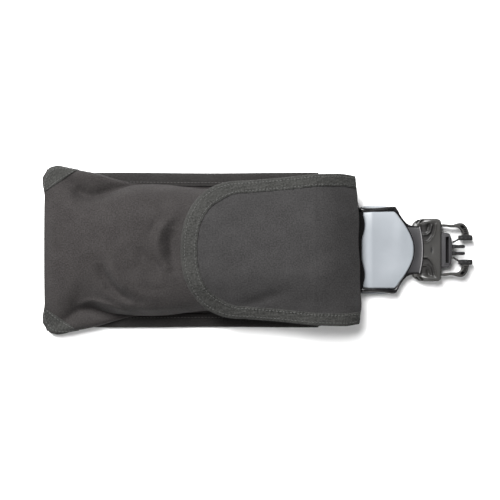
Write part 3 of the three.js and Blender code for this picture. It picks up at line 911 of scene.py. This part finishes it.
def mouth_tape():
    """The tape that binds the raw edge of the pouch's mouth, inside and out."""
    y = np.linspace(-44, 44, 90)
    line = curve_through([(-7.5, 0.1), (-7.2, 0.7), (-3, 0.8), (0.3, 0.5), (0.8, -0.6), (0.2, -1.8),
                          (-3, -2.0), (-7, -1.9)], 20)
    points, flat = [], []
    for dx, h in line:
        x = MOUTH_X + dx
        n = front_normal(np.full(y.shape, x), y)
        z = front_z(np.full(y.shape, x), y)
        base = np.stack([np.full(y.shape, x), y, z], axis=1)
        points.append(base + n * h)
        flat.append(np.stack([y, np.full(y.shape, dx * 2 + h)], axis=1))
    return layered_cloth("mouth_tape", points, flat, 0.4)


def patch(name, height, lift, up=True):
    """A rectangle of hook-and-loop tape on a curved surface."""
    x0, x1, half = -46, -6, 34

    def surface(u, v):
        n = 0.9 * (smoothstep((x1 - u) / 1.2) * smoothstep((u - x0) / 1.2)
                   * smoothstep((half - np.abs(v)) / 1.2))
        return u, v, height(u, v) + lift * n

    us = np.linspace(x0, x1, 44)
    vs = np.linspace(-half, half, 70)
    return sheet_object(name, surface, us, vs, lambda u, v: (u, v), 0.5, flip=up)


def make_pouch():
    front = finish_piece(pouch_front(), NYLON, "pouch",
                         ["front_panel", "upper_gusset", "lower_gusset", "end_gusset"])
    back = finish_piece(back_cloth(), BACK_NYLON, "pouch", ["back_panel"])
    for side, name in SIDES.items():
        finish_piece(hem_strip(side), BACK_NYLON, "pouch", [name + "_hem"])
        finish_piece(corner_tape(side), TAPE, "pouch", [name + "_corner_patch"])
    finish_piece(stitches("hem_stitches", hem_stitches()), DARK_THREAD, "pouch")
    finish_piece(stitches("corner_stitches", corner_stitches()), THREAD, "pouch")
    finish_piece(mouth_tape(), TAPE, "pouch", ["mouth_binding"])
    finish_piece(patch("loop_tape", front_z, 0.9), PILE, "pouch", ["loop_patch"])
    return front, back


# ---- Flap ----

FLAP_CLOTH = 1.3
TIP_X = FLAP_LO[0] + 1.9
SHOULDER_X = TIP_X + 47
FOLD_START = FLAP_FOLD[0] - 31
FLAP_TOP = FLAP_HI[2]
EDGE_POWER = 2.3

flap_half = profile([(TIP_X, 52.6), (SHOULDER_X, 53.2), (SHOULDER_X + 30, 55.6),
                     *shifted(FOLD_START, (0, 58.4), (28, 59.0), (38, 58.0), (50, 56.6))], 3)
FLAP_CREASES = [
    ([(-17, -42.5), (-6, -41), (8, -37), (22, -33)], 1.3, 4.2),
    ([(-20, -37), (-4, -34), (12, -29)], -0.5, 5.0),
    ([(30, 47), (44, 40), (56, 26)], 0.4, 6.0),
    ([(34, -46), (48, -34), (58, -18)], 0.5, 6.0),
    ([(-44, 20), (-38, 4), (-42, -16)], 0.4, 7.0),
]


def flap_top(x, y):
    """Height of the outer face of the flap where it lies on the pouch."""
    level = smoothstep((x - 5) / 45)
    tip = smoothstep((TIP_X + 18 - x) / 18)
    reach = np.maximum(np.abs(y) - 2 * np.logaddexp(0, (-y - 48) / 4), 0)
    crown = (7.5 - 3.5 * level) * (reach / 59) ** 2.2
    lower = 8.5 * smoothstep((-y - 17) / 38)
    z = creased(FLAP_TOP - 0.4 - crown - lower - 1.3 * tip, x, y, FLAP_CREASES)
    return z + 0.28 * noise2(x, y, 42, 5) + 0.1 * noise2(x, y, 17, 6)


# The flap's line over the fold and down the folded strip, as (x, z), starting at FOLD_START.
FOLD_TOP = FLAP_TOP - 0.4
FOLD_DROP = [(0, 0), (7.5, 1.5), (14.5, 4.4), (21.3, 8.7), (27.4, 13.4), (32.8, 17.6), (36.8, 20.8),
             (38.0, 23.6), (37.4, 26.5)]
FOLD_LINE = curve_through([(FOLD_START + x, FOLD_TOP - drop) for x, drop in FOLD_DROP], 240)
FOLD_LENGTH = float(np.linalg.norm(np.diff(FOLD_LINE, axis=0), axis=1).sum())
FLAP_END = FOLD_START + FOLD_LENGTH - 8.0


def flap_surface(a, y):
    """The flap's outer face: a is the distance along the flap, equal to x where it lies flat."""
    beyond = np.clip(a - FOLD_START, 0, FOLD_LENGTH)
    s = np.linspace(0, FOLD_LENGTH, len(FOLD_LINE))
    fx, fz = np.interp(beyond, s, FOLD_LINE[:, 0]), np.interp(beyond, s, FOLD_LINE[:, 1])
    turned = smoothstep(beyond / 26)
    lean = (-1.7 * (y / 59) - np.where(y > 0, 2.6, 1.3) * smoothstep((np.abs(y) - 42) / 17)) * turned
    flat_z = flap_top(FOLD_START - 5 * np.logaddexp(0, (FOLD_START - a) / 5), y)
    sag = flat_z - FOLD_TOP
    z = fz + sag * (1 - 0.92 * smoothstep(beyond / 38))
    ripple = 0.45 * noise2(a, y, 34, 8) * turned * smoothstep((FOLD_LENGTH - beyond) / 6)
    return np.where(a < FOLD_START, a, fx + lean + ripple), y, np.where(a < FOLD_START, flat_z, z)


def flap_point(a, y, height=0.0):
    """A point at a height above the flap's outer face, and the outward direction there."""
    a, y = np.atleast_1d(np.asarray(a, float)), np.atleast_1d(np.asarray(y, float))
    e = 0.3
    here = np.stack(flap_surface(a, y), axis=-1)
    da = np.stack(flap_surface(a + e, y), axis=-1) - np.stack(flap_surface(a - e, y), axis=-1)
    dy = np.stack(flap_surface(a, y + e), axis=-1) - np.stack(flap_surface(a, y - e), axis=-1)
    n = unit(np.cross(da, dy))
    return here + n * np.asarray(height)[..., None], n


def flap_edge(count_side, count_tip):
    """The flap's outline on the flat cloth, from one end round the tip to the other, with its middle."""
    sides = np.linspace(FLAP_END, SHOULDER_X, count_side)
    phi = np.linspace(math.pi / 2, -math.pi / 2, count_tip)[1:-1]
    reach = SHOULDER_X - TIP_X
    tip_a = SHOULDER_X - reach * np.cos(phi) ** (2 / EDGE_POWER)
    tip_y = float(flap_half(SHOULDER_X)) * np.sign(np.sin(phi)) * np.abs(np.sin(phi)) ** (2 / EDGE_POWER)
    a = np.concatenate([sides, tip_a, sides[::-1]])
    y = np.concatenate([flap_half(sides), tip_y, -flap_half(sides[::-1])])
    outline = np.stack([a, y], axis=1)
    spine = np.stack([np.maximum(a, SHOULDER_X), np.zeros(len(a))], axis=1)
    return outline, spine


def inset_line(outline, inset):
    """The outline moved inwards on the flat cloth."""
    t = unit(np.gradient(outline, axis=0))
    return outline + np.stack([-t[:, 1], t[:, 0]], axis=1) * np.reshape(inset, (-1, 1))


def tape_widening(outline):
    """How much wider the tape lies where it is gathered round the flap's tip."""
    return 1 + 0.3 * smoothstep((SHOULDER_X - outline[:, 0]) / 26)


def flap_cloth():
    outline, spine = flap_edge(112, 74)
    outline = inset_line(outline, 0.8)
    shares = 1 - (1 - np.linspace(0, 1, 56)) ** 1.15
    rows = [spine + (outline - spine) * s for s in shares]
    flat = np.stack(rows)
    points = np.stack(flap_surface(flat[..., 0], flat[..., 1]), axis=-1)
    faces = grid_faces(len(rows), len(outline), flip=True)
    return mesh_object("flap_cloth", points.reshape(-1, 3), faces, flat.reshape(-1, 2), weld=0.01)


def flap_binding():
    """The tape folded over the flap's edge, drawn in a little at each stitch."""
    outline, _ = flap_edge(300, 190)
    s = walked(outline)
    section = [(9.6, -0.05), (9.5, 0.45), (8.2, 0.62), (5, 0.8), (2.0, 0.66), (0.6, 0.45), (-0.25, -0.1),
               (-0.35, -0.9), (0.2, -1.8), (1.4, -2.1), (5, -2.2), (9, -2.05)]
    line = curve_through(section, 34)
    points, flat = [], []
    for inset, h in line:
        ring = inset_line(outline, inset * tape_widening(outline))
        upper = h > 0.2
        pulled = (bell(inset - 8.0, 1.4) + bell(inset - 2.2, 1.4)) * upper
        pucker = 0.24 * np.cos(2 * math.pi * s / STITCH_PITCH) * pulled
        waves = 0.2 * noise2(s, np.full(s.shape, inset * 3), 7, 9) * upper
        p, _ = flap_point(ring[:, 0], ring[:, 1], h + pucker + waves)
        points.append(p)
        flat.append(np.stack([s, np.full(s.shape, inset + 3 * h)], axis=1))
    return layered_cloth("flap_binding_tape", points, flat, 0.35)


def flap_stitches():
    outline, _ = flap_edge(300, 190)
    rows = []
    for inset, height in ((8.1, 0.62), (2.1, 0.66)):
        ring = inset_line(outline, inset * tape_widening(outline))
        p, n = flap_point(ring[:, 0], ring[:, 1], height)
        rows.append((p, n))
    return rows


def strip_cloth():
    """The fixed root of the flap: sewn down in the mouth, then up to the flap's folded strip."""
    down = unit(np.gradient(FOLD_LINE, axis=0))
    inside = FOLD_LINE + 4.2 * np.stack([down[:, 1], -down[:, 0]], axis=1)
    seam = shifted(MOUTH_X, (-23, 6.6), (-8, 7.0), (-1, 9.2), (3.6, 10.6))
    line = curve_through([*seam, *inside[[-26, -36, -52]]], 60)

    def place(x, y, z):
        narrow = 1 - 0.13 * smoothstep((MOUTH_X + 3 - x) / 3)
        lean = -1.7 * (y / 59) - 2.6 * smoothstep((np.abs(y) - 42) / 17)
        return x + lean * smoothstep((x - MOUTH_X) / 6), y * narrow, z

    return wide_cloth("flap_root_cloth", line, np.linspace(-53, 53, 90), place, 0.9)


def make_flap():
    cloth = thicken(flap_cloth(), FLAP_CLOTH)
    pieces = [
        finish_piece(cloth, FLAP_NYLON, None, ["flap_panel", "flap_hinge_strip"]),
        finish_piece(flap_binding(), TAPE, None, ["flap_binding"]),
        finish_piece(stitches("flap_stitches", flap_stitches()), THREAD),
    ]
    for piece in pieces:
        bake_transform(piece)
    root = finish_piece(strip_cloth(), FLAP_NYLON, None, ["flap_base"])
    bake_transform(root)
    hooks = patch("hook_tape", lambda x, y: flap_top(x, y) - FLAP_CLOTH - 0.2, -0.9, up=False)
    finish_piece(hooks, PILE, "flap", ["hook_patch"])
    return cloth, root


# ---- Handle ----

FORK_Y = 28.4
RAIL_TOP = FRAME_HI[2] - 0.9
LIP_X = FRAME_HI[0] - 0.4
CROSSBAR_RADIUS = 2.2

# Upper half of the frame's outer edge and of the grip's edge.
FRAME_SIDE = shifted(FRAME_LO[0], (0, 31.6), (5, 32.6), (9.5, 33.6), (16.2, 33.1), (24.6, 33.4), (32, 34.2),
                     (36, 34.4), (38.1, 33.4), (39.5, 30.4), (41, 27.2), (43.6, 23.8), (46.6, 20.9),
                     (49.8, 19.5), (53, 18.9), (57.4, 18.4))
GRIP_SIDE = shifted(FRAME_LO[0], (9.6, 29.2), (18.3, 28.9), (25.8, 29.1), (31.7, 30.0), (35.3, 30.4),
                    (37.9, 28.9), (40.8, 24.9), (44.6, 19.6), (47.9, 14.2), (50.1, 9.2), (51.3, 5.0),
                    (51.8, 0))
GRIP_HALF = 30.3
NECK_HALF = 17.9
# The upper rail's middle line, as (x, y, depth under RAIL_TOP), and that of the grip's wrap beside it.
RAIL_LINE = shifted(FRAME_LO[0], (7, 31.1, 3.6), (11, 31.5, 2.2), (17, 31.1, 2.1), (24.6, 31.3, 2.0),
                    (32, 32.3, 2.0), (36, 32.4, 2.1), (38.3, 30.7, 2.2), (40.3, 27.2, 2.3), (43, 23.4, 2.3),
                    (46, 20.4, 2.4))
RAIL_RADII = np.interp(np.linspace(0, 1, 90), [0, 0.1, 0.35, 0.55, 0.66, 0.8, 1],
                       [1.6, 2.0, 2.15, 2.0, 1.5, 1.0, 0.8])
WRAP_LINE = shifted(FRAME_LO[0], (9.0, 33.0, 3.9), (15, 33.3, 3.8), (25, 33.4, 3.8), (33.6, 33.4, 3.8))


def lip_line(y, offset=0.0):
    """The curved line where the frame's neck meets the buckle."""
    return LIP_X + offset - 2.3 * (y / 18.4) ** 2


def frame_outline():
    side = curve_through(FRAME_SIDE, 70)
    lip = [(float(lip_line(y)), y) for y in np.linspace(18.0, -18.0, 19)]
    return [tuple(p) for p in side] + lip + mirrored(side[::-1], -1)


GRIP_EDGE = curve_through(GRIP_SIDE, 200)
GRIP_WIDEST = int(np.argmax(GRIP_EDGE[:, 1]))


def grip_left(y):
    """The waved edge of the grip at the pouch end."""
    share = np.abs(y) / GRIP_HALF
    return GRIP_LO[0] + 0.4 + 2.4 * np.sin(math.pi * np.clip((share - 0.25) / 0.8, 0, 1)) ** 1.4


def grip_right(y):
    """The rounded edge of the grip towards the neck."""
    edge = GRIP_EDGE[GRIP_WIDEST:][::-1]
    return np.interp(np.abs(y), edge[:, 1], edge[:, 0])


def grip_half_at(x):
    return np.interp(x, GRIP_EDGE[: GRIP_WIDEST + 1, 0], GRIP_EDGE[: GRIP_WIDEST + 1, 1])


def grip_outline(outset):
    ys = np.linspace(-GRIP_HALF * 0.995, GRIP_HALF * 0.995, 81)
    right = [(float(grip_right(y)) + outset, y * (1 + outset / GRIP_HALF)) for y in ys]
    top_xs = np.linspace(right[-1][0] - outset - 1, GRIP_LO[0] + 2, 20)
    top = [(x, float(grip_half_at(x)) + outset) for x in top_xs]
    left = [(float(grip_left(y)) - outset, y) for y in np.linspace(27.5, -27.5, 41)]
    return right + top + left + mirrored(top[::-1], -1)


def handle_frame():
    bottom = FRAME_LO[2]
    top = RAIL_TOP - 1.4
    body = plate("handle_frame_shell", frame_outline(), [grip_outline(0.2)[::-1]], bottom, top, 0.4, 3)
    fork = box_cutter(FRAME_LO[0] - 5, FRAME_LO[0] + 7.2, -FORK_Y, FORK_Y, -5, 30)
    slim = box_cutter(FRAME_LO[0] - 5, FRAME_LO[0] + 7, -60, 60, HANDLE_Z + 2.6, 30)
    under = box_cutter(FRAME_LO[0] + 49.5, FRAME_HI[0] + 5, -60, 60, -5, 3.0)
    cut(body, fork, slim, under)
    round_shading(body)
    rails = []
    for side in (-1, 1):
        path = curve_through([(x, y, RAIL_TOP - drop) for x, y, drop in RAIL_LINE], 90)
        path[:, 1] *= side
        rails.append(sweep(f"rail{side}", path, RAIL_RADII, 20))
    across = np.linspace(-30, 30, 20)
    bar = sweep("handle_crossbar", [(PIVOT[0], y, HANDLE_Z) for y in across], CROSSBAR_RADIUS, 20)
    return body, joined("handle_rails", rails), bar


def neck_face():
    """The satin face of the neck, between the grip and the lip."""
    def left(y):
        return grip_right(y * 0.97) + 0.7

    def right(y):
        return lip_line(y, -0.9)

    def top(x, y):
        span = (x - left(y)) / (right(y) - left(y))
        return RAIL_TOP - 0.6 - 0.25 * np.sin(math.pi * np.clip(span, 0, 1)) - 0.35 * (np.abs(y) / 18) ** 6

    return relief_plate("neck_face", left, right, NECK_HALF, top, flat_at(HANDLE_Z), 0.35, 30, 70)


def neck_lip():
    """The raised bead at the end of the neck, coloured light grey as a painted highlight."""
    line = [(float(lip_line(y, -0.8)), y, RAIL_TOP - 0.55 - 0.35 * (abs(y) / 18) ** 6)
            for y in np.linspace(-NECK_HALF, NECK_HALF, 60)]
    return sweep("neck_lip", line, 0.52, 14)


def grip_pads():
    crown = GRIP_HI[2] - 0.3

    def top(x, y):
        span = (x - GRIP_LO[0]) / (GRIP_HI[0] - GRIP_LO[0])
        dish = -0.9 * bell(span - 0.42, 0.34) * bell(y, 18)
        swell_near = 0.5 * bell(span - 0.75, 0.12) * bell(y - 12, 12)
        swell = swell_near + 0.5 * bell(span - 0.6, 0.2) * bell(y + 20, 8)
        roll = -1.8 * smoothstep((0.22 - span) / 0.22)
        return crown + dish + swell + roll - 1.2 * (np.abs(y) / GRIP_HALF) ** 4

    def bottom(x, y):
        return BACK_GRIP_LO[2] + 0.2 + 1.0 * (np.abs(y) / GRIP_HALF) ** 3

    front = relief_plate("grip_front_pad", grip_left, grip_right, GRIP_HALF, top, flat_at(HANDLE_Z + 0.1),
                         1.3, 90, 120, 0.6)
    back = relief_plate("grip_back_pad", grip_left, grip_right, GRIP_HALF, flat_at(HANDLE_Z - 0.1), bottom,
                        1.3, 60, 80, 0.6)
    wraps = []
    for side in (-1, 1):
        path = curve_through(WRAP_LINE, 40)
        path[:, 1] *= side
        wraps.append(sweep(f"wrap{side}", path, 1.55 - 0.9 * np.linspace(-1, 1, 40) ** 6, 16))
    return front, back, joined("grip_edge_wraps", wraps)


def pivot_loop():
    """The webbing loop sewn to the back panel, with the handle's crossbar in its eye."""
    r = CROSSBAR_RADIUS + 0.3 + 1.25
    turn = np.linspace(-math.pi / 2, 0.78 * math.pi, 30)
    eye = [(PIVOT[0] + (r - 0.6) * math.cos(t), HANDLE_Z + (r - 0.6) * math.sin(t)) for t in turn]
    low = HANDLE_Z - r + 0.6
    line = np.array([(MOUTH_X - 23, low), (MOUTH_X - 10, low), (PIVOT[0] - 4, low), *eye,
                     (PIVOT[0] - 6.5, low + 3.0), (PIVOT[0] - 10, low + 1.4), (MOUTH_X - 23, low + 1.3)])
    return wide_cloth("pivot_loop_webbing", evenly(line, 120), np.linspace(-26, 26, 50),
                      lambda x, y, z: (x, y, z), 1.1, 0.0)


def make_handle():
    frame_shell, rails, bar = handle_frame()
    finish_piece(frame_shell, BLACK, "handle", ["handle_frame"])
    # The lip bead gets the light grey of a painted highlight.
    for piece, material in ((rails, BLACK), (bar, BLACK), (neck_face(), NECK_GREY), (neck_lip(), LIP_HIGHLIGHT)):
        finish_piece(piece, material, "handle")
    front, back, wraps = grip_pads()
    finish_piece(front, GRIP, "handle", ["front_grip"])
    finish_piece(back, GRIP, "handle", ["back_grip"])
    finish_piece(wraps, GRIP, "handle")
    finish_piece(pivot_loop(), WEBBING, "pouch", ["pivot_webbing"])


# ---- Buckle ----

ARM_Y = 19.1
# The upper scoop's edge towards the tongue, the ridge in it and the pit beside the ridge.
SCOOP_EDGE = shifted(BUCKLE_LO[0], (7.2, 5.6), (11.6, 5.9), (13.9, 7.6), (16.6, 11.4), (17.9, 16.0),
                     (18.4, 20.4))
SCOOP_RIDGE = shifted(BUCKLE_LO[0], (8.5, 12.0), (11.4, 12.1), (13.8, 14.3), (15.2, 19.0))
SCOOP_PIT = shifted(BUCKLE_LO[0], (12.2, 16.4), (12.9, 19.6))


def scoop_share(x, y):
    """How deep a place lies in the finger scoop of the upper half, from 0 on the face to 1 in the scoop."""
    distance, side, _ = distance_to(x, y, SCOOP_EDGE)
    inward = distance * np.where(side > 0, 1, -1)
    within = smoothstep((22.6 - y) / 4.5)
    return smoothstep((inward + 0.1) / 1.5) * within * smoothstep((x - BUCKLE_LO[0] - 3.2) / 4.5)


def groove_distance(x, y):
    """How far a place on the buckle is from the nearer of the two short slanted grooves in its shoulder."""
    y = np.abs(y)
    starts = (BUCKLE_LO[0] + 3.4, BUCKLE_LO[0] + 6.4)
    return np.minimum(*[distance_to(x, y, [(s, 21.9), (s + 1.9, 23.6)])[0] for s in starts])


def buckle_top(x, y):
    """Height of the buckle's face: a tongue between two finger scoops, each with a ridge and a pit."""
    y = np.abs(y)
    distance, _, _ = distance_to(x, y, SCOOP_EDGE)
    scoop = scoop_share(x, y)
    z = BUCKLE_HI[2] - 0.25 - 2.3 * scoop
    z += 0.35 * bell(distance, 0.55) * (y < 20.5)
    ridge, _, _ = distance_to(x, y, SCOOP_RIDGE)
    z += 1.3 * bell(ridge, 1.0) * scoop
    pit, _, _ = distance_to(x, y, SCOOP_PIT)
    z -= 1.0 * bell(pit, 1.1)
    z -= 0.3 * bell(np.hypot(x - BUCKLE_LO[0] - 15, y * 0.4), 1.0)
    # Each shoulder falls away in one plane.
    fall = 0.27 * (BUCKLE_LO[0] + 9.5 - x) + 0.38 * (y - 20.5)
    z -= 0.25 * np.logaddexp(0, fall / 0.25) * smoothstep((y - 17) / 2)
    return z - 1.5 * bell(groove_distance(x, y), 0.6)


def buckle_shell():
    x0, x1, half = BUCKLE_LO[0], BUCKLE_HI[0], BUCKLE_HI[1]

    def left(y):
        y = np.abs(y)
        return np.interp(y, [0, 19.6, 21.2, 22.7, 23.7, 24.3, half - 0.15, half],
                         [x0 + 0.3, x0 + 0.3, x0 + 0.9, x0 + 2.4, x0 + 4.0, x0 + 5.8, x0 + 9.5, x0 + 12])

    def right(y):
        return np.interp(np.abs(y), [0, 21.4, 22.8, 23.8, 24.5, half],
                         [x1, x1, x1 - 0.4, x1 - 1.2, x1 - 2.4, x1 - 5])

    body = relief_plate("buckle_shell", left, right, half, buckle_top, flat_at(BUCKLE_LO[2]), 1.5, 84, 170,
                        0.7)
    lip = [(float(lip_line(y, 0.35)), y) for y in np.linspace(-18.7, 18.7, 25)]
    seat = [(x0 - 5, -18.7), *lip, (x0 - 5, 18.7)]
    room, beyond = 0.4, x1 + 5
    tools = [cutter(seat, HANDLE_Z - 3.6, BUCKLE_HI[2] + 5),
             box_cutter(HEAD_LO[0] - 3, beyond, HEAD_LO[1] - room, HEAD_HI[1] + room, HEAD_LO[2] - room,
                        HEAD_HI[2] + room)]
    low, high = ARM_LO[2] - room, ARM_HI[2] + room
    for y in (-ARM_Y, ARM_Y):
        tools.append(box_cutter(ARM_LO[0] - room, beyond, y - 2.2, y + 2.2, low, high))
    cut(body, *tools)
    paint(body, BUCKLE,
          # The deep part of each scoop is painted darker as painted shade.
          (BUCKLE_SCOOP_SHADE, lambda x, y, z: (scoop_share(x, np.abs(y)) > 0.6) & (z > HANDLE_Z)),
          # The dimple's middle is painted darker as painted shade in the hollow.
          (BUCKLE_DARK, lambda x, y, z: (np.hypot(x - x0 - 15, y * 0.4) < 0.8) & (z > HANDLE_Z)),
          # The shoulder grooves are painted near-black as painted shade.
          (PIT_SHADE_BLACK, lambda x, y, z: (groove_distance(x, y) < 0.42) & (z > HANDLE_Z)))
    return round_shading(body)


def slider_plate():
    x0, x1, half = HEAD_LO[0], HEAD_HI[0], HEAD_HI[1]
    side = [(x0, half, 0.3), (x1 - 2.2, half, 2.6), (x1 - 0.5, half - 5, 2), (x1, 5.0, 2)]
    outline = rounded(side + [(x, -y, r) for x, y, r in side[::-1]], 7)
    body = plate("slider_plate", outline, [], HEAD_LO[2], HEAD_HI[2] - 0.2, 0.55, 4)
    slot = rounded_box(x0 + 4.6, x0 + 7.0, -10.3, 10.3, 0.5, 0.5, 4)
    cut(body, cutter(slot, HEAD_HI[2] - 4.2, HEAD_HI[2] + 5))
    rib = rounded_box(x0 + 3.0, x0 + 7.9, -11.2, 11.2, 0.6, 0.9, 5)
    rim = plate("rim", rib, [slot[::-1]], HEAD_HI[2] - 1.5, HEAD_HI[2] + 0.15, 0.3, 3)
    made = joined("slider_plate_pieces", [body, rim])
    made.name = "slider_plate"
    # The inside of the slot is painted near-black as painted shade.
    paint(made, NECK_GREY,
          (PIT_SHADE_BLACK, lambda x, y, z: (z < HEAD_HI[2] - 0.9) & (z > HEAD_LO[2] + 1) & (x > x0 + 4.4)
           & (x < x0 + 7.2) & (np.abs(y) < 10.5)))
    return round_shading(made)


def guide_pin(side):
    y = side * (PIN_LO[1] + PIN_HI[1]) / 2
    r = (PIN_HI[1] - PIN_LO[1]) / 2
    xs = np.linspace(PIN_LO[0] + 0.2, PIN_HI[0] - r, 40)
    radii = r * (1.3 - 0.15 * smoothstep((xs - PIN_LO[0] - 2.5) / 1.2))
    pin = sweep("pin", [(x, y, HANDLE_Z) for x in xs], radii, 18)
    near, far = y - side * 1.7, y + side * 1.2
    outline = rounded_box(HEAD_HI[0] + 0.3, HEAD_HI[0] + 2.4, min(near, far), max(near, far), 0.4, 0.5, 4)
    foot = plate("foot", outline, [], HANDLE_Z - 1.6, HANDLE_Z + 1.9, 0.35, 3)
    return round_shading(joined("guide_pin_" + SIDES[side], [pin, foot]))


def latch_arm(side):
    """A thin springy leg that widens into a curled paddle with a crosswise foot."""
    x0, x1, y = ARM_LO[0] + 2.0, ARM_HI[0], ARM_Y
    low, top = ARM_LO[2], ARM_HI[2]
    outer = shifted(x0, (0, y + 1.1, 0.4), (5, y + 1.5, 3), (11, y + 0.6, 3), (15.5, y + 2.3, 2.0),
                    (19.6, y + 2.2, 2.6), (23.0, y - 1.6, 3), (24.3, 10.6, 0.4), (18.8, 10.6, 0.4),
                    (18.9, 15.2, 2.6), (15.6, y - 1.3, 2), (10.5, y - 1.4, 3), (5, y - 0.5, 3),
                    (0, y - 1.1, 0.4))
    arm = plate("arm", mirrored(rounded(outer, 7), side), [], low, top - 0.3, 0.6, 4)
    core = shifted(x0, (17.0, y + 0.4, 0.8), (19.6, y + 0.3, 0.8), (21.7, y - 2.1, 0.8), (22.9, 12.7, 0.8),
                   (19.8, 12.7, 0.8), (19.9, 15.6, 0.8), (17.1, y - 0.9, 0.8))
    cut(arm, cutter(mirrored(rounded(core, 5), side), top - 2.2, top + 5))
    ribs = []
    for x, v in shifted(x0, (19.9, 17.0), (20.2, 15.3), (20.3, 13.9)):
        outline = [(x, v - 0.35), (x + 2.3, v - 0.75), (x + 2.3, v - 0.2), (x, v + 0.2)]
        ribs.append(plate("rib", mirrored(outline, side), [], low + 1, top - 0.7, 0.1, 2))
    foot = rounded([(x0 + 15.9, 11.5, 1.2), (x1 - 0.4, 11.9, 1.6), (x1, 7.5, 1.6), (x0 + 15.9, 7.7, 1.2)], 7)
    block = plate("foot", mirrored(foot, side), [], low, top + 0.15, 0.9, 4)
    nubs = []
    for x, v in shifted(x0, (17.4, 9.6), (20.6, 9.3), (23.6, 9.9)):
        line = [(x, side * v, top - 0.4), (x + 1.0, side * v, top + 0.05), (x + 2, side * v, top - 0.4)]
        nubs.append(sweep("nub", line, 0.45, 8))
    knuckle = sweep("knuckle", [(x0, side * y, z) for z in np.linspace(low + 2, top - 2, 8)], 1.9, 20)
    made = joined("latch_arm_shell_" + SIDES[side], [arm, *ribs, block, *nubs, knuckle])
    paint(made, BUCKLE,
          (BUCKLE_DARK, lambda x, y, z: (np.abs(y) < 11.7) & (x > x0 + 15) & (z > top - 0.8)),
          # The pit in the paddle is painted near-black as painted shade.
          (BUCKLE_PIT_SHADE, lambda x, y, z: (x > x0 + 16.5) & (x < x0 + 23.2) & (np.abs(y) > 12.2)
           & (z > low + 1) & (z < top - 0.9)))
    return round_shading(made)


def strut(side):
    """The thin link from the slider plate to the paddle."""
    path = curve_through([(STRUT_LO[0] + 0.9, 6.3, HANDLE_Z), (STRUT_LO[0] + 2.8, 7.3, HANDLE_Z),
                          (STRUT_HI[0] + 0.6, 8.8, HANDLE_Z)], 24)
    path[:, 1] *= side
    return sweep("strut_link_" + SIDES[side], path, np.linspace(0.7, 0.85, 24), 12, 1.8)


def make_buckle():
    attach(buckle_shell(), "buckle", ["buckle_body"])
    attach(slider_plate(), "handle", ["slider_head"])
    for side, name in SIDES.items():
        body = name + "_latch"
        finish_piece(guide_pin(side), BUCKLE_DARK, "handle", [name + "_guide_pin"])
        attach(latch_arm(side), body, [name + "_latch_arm"])
        finish_piece(strut(side), LINK, body, [name + "_strut"])
    frame["nodes"]["slider_bar"].data.materials.clear()
    frame["nodes"]["slider_bar"].data.materials.append(BUCKLE_DARK)


# ---- Weights ----

def lead_block(name, node_name):
    """A cast block with well-rounded corners and softly rounded faces."""
    lo, hi = box_mm(node_name)
    x0, y0, x1, y1 = lo[0] + 0.3, lo[1] + 0.3, hi[0] - 0.3, hi[1] - 0.3
    outline = rounded([(x, y, 24) for x, y in ((x1, y1), (x0, y1), (x0, y0), (x1, y0))], 12)
    finish_piece(plate(name, outline, [], lo[2], hi[2], 5.0, 6), LEAD, "pouch", [node_name])


def make_weights():
    lead_block("cast_block_inner", "lead_weight_inner")
    lead_block("cast_block_outer", "lead_weight_outer")


# ---- Room ----

# Metres: the floor's half-size and the gap under the part, and the camera's field and where it looks.
FLOOR_HALF = 3.0
FLOOR_GAP = 0.0004
FIELD = 0.3915
FIELD_MIDDLE_X = -0.0063


def soft_box(name, place, size, power):
    """A soft light at a place in metres that faces the part."""
    light = bpy.data.lights.new(name, "AREA")
    light.shape = "RECTANGLE"
    light.size, light.size_y = size
    light.energy = power
    obj = new_object(name, light)
    obj.location = place
    obj.rotation_euler = (-Vector(place)).to_track_quat("-Z", "Y").to_euler()


def make_room():
    floor_mesh = bpy.data.meshes.new("floor")
    corners = [(x * FLOOR_HALF, y * FLOOR_HALF, 0) for x, y in ((-1, -1), (1, -1), (1, 1), (-1, 1))]
    floor_mesh.from_pydata(corners, [], [(0, 1, 2, 3)])
    floor = new_object("floor", floor_mesh)
    floor.location.z = -FLOOR_GAP
    floor.data.materials.append(nodes_of("floor_paper", (0.80, 0.80, 0.80), 0.9)[0])

    world = bpy.data.worlds.new("studio")
    world.use_nodes = True
    background = world.node_tree.nodes["Background"]
    background.inputs["Color"].default_value = (1, 1, 1, 1)
    background.inputs["Strength"].default_value = 0.22
    bpy.context.scene.world = world
    bpy.context.scene.view_settings.view_transform = "Standard"
    soft_box("key_light", (-0.95, 1.45, 1.5), (1.0, 0.8), 124)
    soft_box("top_light", (-0.3, 0.55, 1.15), (0.6, 0.6), 31)
    soft_box("fill_light", (-0.4, -1.3, 1.1), (1.4, 0.8), 10)
    soft_box("rim_light", (-0.84, -1.28, 1.28), (0.28, 0.28), 4.5)


def make_camera():
    """A long lens straight above the part."""
    camera = bpy.data.cameras.new("camera")
    camera.lens, camera.sensor_width = 100, 36
    camera.clip_start, camera.clip_end = 0.01, 20
    obj = new_object("camera", camera)
    away = FIELD * camera.lens / camera.sensor_width
    obj.location = (FIELD_MIDDLE_X, 0.0, TOP_Z / 2 * MM + away)
    bpy.context.scene.camera = obj


make_camera()
make_room()
front_piece, back_piece = make_pouch()
flap_piece, root_piece = make_flap()
make_handle()
make_buckle()
make_weights()
